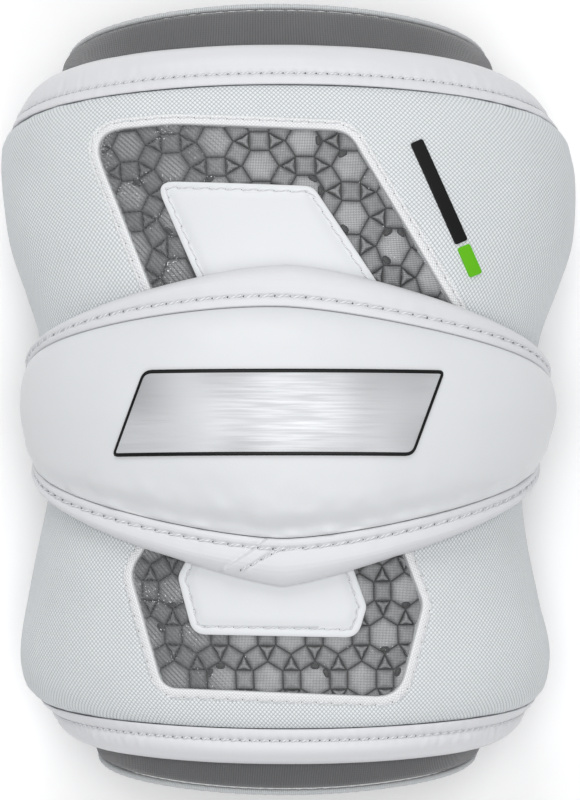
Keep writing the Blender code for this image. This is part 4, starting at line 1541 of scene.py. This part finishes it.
def panel_flat(turn, ring):
    angle, station = cap_outline(PANEL_OUTLINE, turn, widening=0.6 * SEAM_GAP)
    middle = PANEL_OUTLINE[0]
    return np.column_stack((round_of(angle * ring), middle + (station - middle) * ring))


def panel_ring(flat):
    """How far out on the panel flat points lie, from 0 in its middle to 1 at its seam."""
    station, half_angle, upper, lower = PANEL_OUTLINE
    across = angle_of(flat[:, 0]) / half_angle
    rise = flat[:, 1] - station
    height, squareness, skew = (np.where(rise > 0.0, upper[i], lower[i]) for i in range(3))
    ring = np.hypot(across, rise / height)
    for _ in range(12):
        edge = across / np.maximum(ring, 1e-6)
        along = np.abs(rise) / (height * (1.0 - skew * edge))
        ring = (np.abs(across) ** squareness + along**squareness) ** (1 / squareness)
    return ring


def rim_edges(turn):
    """Flat points of the rim's seam and of the cap's edge."""
    edges = []
    for outline, widening in ((PANEL_OUTLINE, SEAM_GAP), (RIM_OUTLINE, 0.0)):
        angle, station = cap_outline(outline, turn, widening)
        if outline is RIM_OUTLINE:
            dip = RIM_DIP * np.maximum(0.0, 1.0 - np.abs(angle) / DIP_ANGLE)
            station = station - np.where(np.sin(turn) < 0.0, dip, 0.0)
        edges.append(np.column_stack((round_of(angle), station)))
    return edges


def crown_height(ring):
    """Height of the puffed panel at a ring, 0 in the middle and 1 at the seam."""
    rise = np.maximum(0.0, 1.0 - ring**2.4) ** 0.66
    return (5.9 + 9.0 * rise) * MM


def crown_at(flat):
    """Height of the cap panel's crown over flat points, its broad swells included."""
    swell = 0.35 * MM * sizes().wrinkles * rough(flat, 0.035, 47.0)
    return crown_height(np.minimum(panel_ring(flat), 1.0)) + swell


class ELBOWGUARD_OT_cap_panel(Operator):
    """Puff up the smooth panel of the elbow cap"""

    bl_idname = "elbow_guard.cap_panel"
    bl_label = "Cap Panel"

    def execute(self, context):
        turns, rings = 360, 54
        spread = np.concatenate(
            (1.0 - (1.0 - np.linspace(0.0, 1.0, rings)) ** 1.5, np.linspace(1.0, 0.0, 8)[1:])
        )

        def flat_at(column, row):
            turn = 2 * math.pi * (column % turns) / turns
            ring = spread[row]
            flat = panel_flat(turn, ring)
            upper = row < rings
            height = np.where(upper, crown_height(ring), CAP_GAP + 0.2 * MM)
            return np.column_stack((flat, height))

        shape = grid_shape(turns, len(spread) - 1, flat_at)
        close_up(shape)
        raise_corners(shape, self.puckers)
        slot, name = "white_smooth_leather", "puffed_cap_panel"
        add_piece(name, shape, ["smooth_leather"], ["cap_panel"])
        return {"FINISHED"}

    def puckers(self, places):
        """Gathers along the seam, deepest at the bottom, and broad swells in the middle."""
        turn = np.linspace(0.0, 2 * math.pi, 900, endpoint=False)
        seam = Rail(panel_flat(turn, np.ones(len(turn))))
        inward = seam.distance(places)
        upper = places[:, 2] > 3.0 * MM
        low = smooth_step((PANEL_OUTLINE[0] - 0.008 - places[:, 1]) / 0.015)
        near = np.exp(-inward / (7.5 * MM)) * smooth_step(inward / (1.0 * MM))
        folds = rough(places, 0.0105, 41.0) * 0.6 + rough(places, 0.0045, 43.0) * 0.3
        sunk = -1.5 * low * np.exp(-(((inward - 3.0 * MM) / (2.6 * MM)) ** 2))
        broad = 0.35 * rough(places, 0.035, 47.0) * smooth_step(inward / 0.012)
        gathers = near * folds * (0.6 + 2.8 * low)
        return upper * MM * sizes().wrinkles * (gathers + broad + sunk)


# Fold of the rim's overlapping end and the stitches beside it, from the cap's edge to its seam,
# in millimetres
OVERLAP_FOLD = ((-19.8, -50.6), (-4.7, -40.6))
OVERLAP_STITCHES = ((-13.4, -50.3), (-1.6, -44.3), (3.6, -43.6))
OVERLAP_WIDTH = 4.0


class ELBOWGUARD_OT_cap_rim(Operator):
    """Sew the stitched rim round the elbow cap, with its overlapping lower seam"""

    bl_idname = "elbow_guard.cap_rim"
    bl_label = "Cap Rim"

    def execute(self, context):
        turns = 900
        rows = np.array((*RIM_PROFILE, RIM_PROFILE[0]))
        lengths = np.abs(np.diff(rows[:, 0] + 11.0 * rows[:, 1])) + np.abs(np.diff(rows[:, 2]))
        run = np.concatenate(((0.0,), np.cumsum(lengths)))
        fine = np.unique(np.concatenate((run, np.arange(0.0, 17.0, 0.45))))
        profile = np.stack([np.interp(fine, run, rows[:, i]) for i in range(3)], axis=1)

        def turn_of(column):
            even = 2 * math.pi * (column % turns) / turns
            return even - 0.5 * np.cos(even)

        def flat_at(column, row):
            seam, edge = rim_edges(turn_of(column))
            width = np.hypot(*(edge - seam).T)
            fixed = np.minimum(profile[row, 0] * MM, width * 0.45)
            share = (fixed + profile[row, 1] * (width - np.minimum(4.0 * MM, width * 0.45))) / width
            place = seam + (edge - seam) * share[:, None]
            return np.column_stack((place, profile[row, 2] * MM))

        def pattern_at(column, row):
            return np.column_stack((column * 0.0006, row * 0.001))

        shape = grid_shape(turns, len(profile) - 1, flat_at, pattern_at)
        close_up(shape)
        raise_corners(shape, self.relief)
        inner, outer = rim_edges(np.linspace(0.0, 2 * math.pi, 1200, endpoint=False))
        width = np.hypot(*(outer - inner).T)[:, None]
        line = inner + (outer - inner) * np.minimum(2.8 * MM / width, 0.42)
        seam = Seam(Rail(line), 0.0, sizes().cap_stitch_pitch)
        pull_in(shape, seam, 3.0 * MM, 0.05, 0.55, 0.6)
        overlap = Rail(np.array(OVERLAP_STITCHES) * MM, closed=False)
        lap_seam = Seam(overlap, 0.0, 3.4)
        ground = pull_in(shape, lap_seam, 3.0 * MM, 0.10, 0.35, 0.5)
        slot, name = "white_smooth_leather", "stitched_cap_rim"
        add_piece(name, shape, ["band_leather"], ["cap_rim"])
        add_stitches("cap_stitches", [(seam, 0.36), (lap_seam, 0.32)], ground)
        return {"FINISHED"}

    def relief(self, places):
        """Small waves, and the step where the rim's right end is folded over its left one."""
        start, end = np.array(OVERLAP_FOLD) * MM
        ahead = (end - start) / np.hypot(*(end - start))
        from_start = places[:, :2] - start
        away = from_start[:, 0] * ahead[1] - from_start[:, 1] * ahead[0]
        run = from_start @ ahead
        near = smooth_step((run + 3.0 * MM) / (2.0 * MM))
        near *= smooth_step((22.0 * MM - run) / (6.0 * MM))
        strip = smooth_step(away / (0.45 * MM)) * np.exp(-np.maximum(away, 0.0) / (9.0 * MM))
        shade = -0.45 * np.exp(-((np.minimum(away, 0.0) / (1.1 * MM)) ** 2)) * (away < 0.0)
        crease = np.exp(-(((away - OVERLAP_WIDTH * MM) / (0.45 * MM)) ** 2))
        lap = near * (places[:, 1] < -0.030) * (0.95 * strip + shade - 0.55 * crease)
        waves = 0.30 * rough(places, 0.016, 51.0) + 0.14 * rough(places, 0.005, 53.0)
        outer = smooth_step((places[:, 2] - 2.0 * MM) / (2.0 * MM))
        return MM * outer * (sizes().wrinkles * waves + lap)


class ELBOWGUARD_OT_badge(Operator):
    """Set the plain silver plate on its black backing"""

    bl_idname = "elbow_guard.badge"
    bl_label = "Cap Badge"

    def execute(self, context):
        length, height, slant = BADGE_HALF_LENGTH, BADGE_HALF_HEIGHT, BADGE_SLANT
        corners = [
            (-length + slant, height, 0.0040),
            (length, height, 0.0015),
            (length - slant, -height, 0.0040),
            (-length, -height, 0.0015),
        ]
        seen = [(x + BADGE_CENTRE[0], y + BADGE_CENTRE[1] + RESTING[1], r) for x, y, r in corners]
        outline = unwrap_front(rounded(seen), crown_at, pace=0.8, rounds=40)
        rail = Rail(outline, step=0.0006)
        plate = self.plate(rail, 0.1, 0.75)
        add_piece("badge_backing", plate, ["black_print"], ["cap_badge"])
        face = self.plate(rail.moved(-1.0 * MM), 0.3, 1.15)
        soften(add_piece("badge_face", face, ["silver_plate"]), 0.25)
        return {"FINISHED"}

    def plate(self, rail, low, high):
        shape = slab_shape(rail, 0.0014, low, high)
        raise_corners(shape, crown_at)
        return shape


class ELBOWGUARD_OT_side_bar(Operator):
    """Print the raised side bar and its green tip"""

    bl_idname = "elbow_guard.side_bar"
    bl_label = "Side Bar"

    def execute(self, context):
        seam = seam_distance(UPPER_SEAM)
        origin = Vector((BAR_START[0] * HALF_WIDTH, RESTING[1] + BAR_START[1] * seam))
        direction = Vector(BAR_DIRECTION).normalized()
        side = Vector((-direction.y, direction.x)) * BAR_WIDTH / 2
        tip = BAR_LENGTH + BAR_SPACE
        for name, start, length, finish, slot, node in (
            ("raised_bar", 0.0, BAR_LENGTH, "black_print", "black_bar", "side_bar"),
            ("raised_tip", tip, TIP_LENGTH, "green_print", "green_tip", "side_bar_tip"),
        ):
            near, far = origin + direction * start, origin + direction * (start + length)
            corners = [
                (point.x, point.y, BAR_WIDTH * BAR_CORNER_SHARE)
                for point in (near - side, far - side, far + side, near + side)
            ]
            rail = Rail(unwrap_front(rounded(corners)), step=0.0004)
            shape = slab_shape(rail, 0.0012, -0.6, 0.75)
            soften(add_piece(name, shape, [finish], [node]), 0.2)
        return {"FINISHED"}


class ELBOWGUARD_OT_straps(Operator):
    """Lay the elastic straps across the open back"""

    bl_idname = "elbow_guard.straps"
    bl_label = "Straps"

    def execute(self, context):
        for side, station in (("upper", UPPER_STRAP_STATION), ("lower", LOWER_STRAP_STATION)):
            name, replaced = f"{side}_elastic", [f"{side}_strap"]
            shape = self.strap(station)
            add_piece(name, shape, ["elastic_webbing"], replaced, flat=False)
        return {"FINISHED"}

    def route(self, station, side):
        """Middle line of one thread of the strap, from the middle of the back to its end."""
        middle = STRAP_THICKNESS / 2
        height = LAYER_GAP + middle

        def on_wing(angle, over=height):
            return Vector(free_point(side * angle, station, over) + RESTING)

        leave = on_wing(STRAP_LEAVE_ANGLE)
        slope = (on_wing(STRAP_LEAVE_ANGLE + math.radians(2)) - leave).normalized()
        rear = on_wing(WING_ANGLE, 0.0)
        flat_y = on_wing(WING_ANGLE, -SHELL_THICKNESS).y
        landing = Vector((rear.x - side * SHELL_THICKNESS / 2, flat_y, middle))
        pull = (leave - landing).length
        route = [Vector((landing.x * share, flat_y, middle)) for share in np.arange(12) / 12]
        for step in range(25):
            t = step / 24
            route.append(
                landing * (2 * t**3 - 3 * t**2 + 1)
                + Vector((side * pull, 0.0, 0.0)) * (t**3 - 2 * t**2 + t)
                + leave * (3 * t**2 - 2 * t**3)
                - slope * pull * (t**3 - t**2)
            )
        span = STRAP_LEAVE_ANGLE - STRAP_TOP_ANGLE
        route += [on_wing(STRAP_LEAVE_ANGLE - span * share) for share in np.arange(1, 9) / 8]
        return route

    def strap(self, middle_station):
        threads = np.linspace(-0.5, 0.5, 9) * STRAP_WIDTH + middle_station
        routes = []
        for station in threads:
            left, right = (self.route(station, side) for side in (-1.0, 1.0))
            routes.append([*reversed(left[1:]), *right])
        routes = np.array([[tuple(point) for point in route] for route in routes])
        count = routes.shape[1]
        ahead = np.gradient(routes, axis=1)
        out = np.stack((ahead[..., 2], np.zeros(ahead.shape[:2]), -ahead[..., 0]), axis=-1)
        out /= np.linalg.norm(out, axis=-1)[..., None]
        last = len(threads) - 1
        around = [(i, 0.5) for i in range(last + 1)] + [(i, -0.5) for i in range(last, -1, -1)]
        around.append(around[0])
        index = np.array([item[0] for item in around])
        share = np.array([item[1] for item in around])
        run = np.concatenate(
            ((0.0,), np.cumsum(np.linalg.norm(np.diff(routes[4], axis=0), axis=1)))
        )

        def place_at(column, row):
            slim = np.where((index[row] == 0) | (index[row] == last), 0.55, 1.0)
            lift = (out[index[row], column].T * STRAP_THICKNESS * share[row] * slim).T
            return routes[index[row], column] + lift

        def pattern_at(column, row):
            return np.column_stack((index[row] * STRAP_WIDTH / last, run[column]))

        shape = grid_shape(count - 1, len(around) - 1, place_at, pattern_at)
        close_up(shape, ends=True)
        return shape


# Name, place, watts and width of each soft light
LIGHTS = (
    ("key_light", (-0.20, 1.15, 1.25), 8.5, 0.8),
    ("fill_light", (0.30, -0.90, 1.50), 6.0, 1.0),
    ("top_light", (0.0, 0.0, 2.3), 17.0, 0.8),
)

# What lights and camera aim at, then the camera. Its shift is in pixels, its lens in millimetres.
TARGET = Vector((0.0, 0.0, 0.05))
CAMERA_ELEVATION = math.radians(87.5)
CAMERA_DISTANCE = 1.955
CAMERA_SHIFT = 2.0
FOCAL_LENGTH = 272.0
PHOTO_HEIGHT = 800


class ELBOWGUARD_OT_stage(Operator):
    """Set the floor, the soft lights and the camera"""

    bl_idname = "elbow_guard.stage"
    bl_label = "Stage"

    def execute(self, context):
        self.floor()
        self.lights(context.scene)
        self.camera(context.scene)
        context.scene.view_settings.view_transform = "Standard"
        return {"FINISHED"}

    def floor(self):
        shape = bmesh.new()
        bmesh.ops.create_grid(shape, x_segments=1, y_segments=1, size=3.0)
        mesh = mesh_of("floor", shape)
        finish, w, shader = new_finish("pale_floor", (0.97, 0.97, 0.97), 0.9, emission=0.13)
        tint = w.blend(w.noise(w.place(), 3.0), (0.965, 0.965, 0.965), (0.975, 0.975, 0.975))
        w.drive(shader, {"Base Color": tint, "Emission Color": (1.0, 1.0, 1.0, 1.0)})
        mesh.materials.append(finish)
        place_object("floor", mesh)

    def lights(self, scene):
        world = bpy.data.worlds.new("studio")
        world.use_nodes = True
        background = world.node_tree.nodes["Background"]
        background.inputs["Color"].default_value = (0.97, 0.98, 1.0, 1.0)
        background.inputs["Strength"].default_value = 0.36
        scene.world = world
        for name, place, power, size in LIGHTS:
            data = bpy.data.lights.new(name, "AREA")
            data.shape = "SQUARE"
            data.size = size
            data.energy = power
            light = place_object(name, data)
            light.location = place
            aim = TARGET - Vector(place)
            light.rotation_euler = aim.to_track_quat("-Z", "Y").to_euler()

    def camera(self, scene):
        lens = bpy.data.cameras.new("camera")
        lens.sensor_fit = "VERTICAL"
        lens.sensor_height = 36.0
        lens.lens = FOCAL_LENGTH
        lens.shift_x = lens.shift_y = CAMERA_SHIFT / PHOTO_HEIGHT
        lens.clip_end = 20.0
        camera = place_object("camera", lens)
        away = Vector((0.0, -math.cos(CAMERA_ELEVATION), math.sin(CAMERA_ELEVATION)))
        camera.location = TARGET + away * CAMERA_DISTANCE
        camera.rotation_euler = (math.radians(90) - CAMERA_ELEVATION, 0.0, 0.0)
        scene.camera = camera


PIECES = (
    ELBOWGUARD_OT_stage,
    ELBOWGUARD_OT_liner,
    ELBOWGUARD_OT_shells,
    ELBOWGUARD_OT_windows,
    ELBOWGUARD_OT_patches,
    ELBOWGUARD_OT_bands,
    ELBOWGUARD_OT_cap_panel,
    ELBOWGUARD_OT_cap_rim,
    ELBOWGUARD_OT_badge,
    ELBOWGUARD_OT_side_bar,
    ELBOWGUARD_OT_straps,
)


class ELBOWGUARD_PT_panel(Panel):
    """Lists the pad's pieces, sizes and colours"""

    bl_idname = "ELBOWGUARD_PT_panel"
    bl_label = "Elbow Guard"
    bl_space_type = "VIEW_3D"
    bl_region_type = "UI"
    bl_category = "Elbow Guard"

    def draw(self, context):
        column = self.layout.column()
        for group in (context.scene.elbow_guard_sizes, context.scene.elbow_guard_colours):
            for name in group.__annotations__:
                column.prop(group, name)
        for piece in PIECES:
            column.operator(piece.bl_idname)


CLASSES = (ElbowGuardSizes, ElbowGuardColours, *PIECES, ELBOWGUARD_PT_panel)


def register():
    for item in CLASSES:
        bpy.utils.register_class(item)
    bpy.types.Scene.elbow_guard_sizes = PointerProperty(type=ElbowGuardSizes)
    bpy.types.Scene.elbow_guard_colours = PointerProperty(type=ElbowGuardColours)


def unregister():
    del bpy.types.Scene.elbow_guard_colours
    del bpy.types.Scene.elbow_guard_sizes
    for item in reversed(CLASSES):
        bpy.utils.unregister_class(item)


def main():
    register()
    for piece in PIECES:
        group, name = piece.bl_idname.split(".")
        getattr(getattr(bpy.ops, group), name)()


if __name__ == "__main__":
    main()
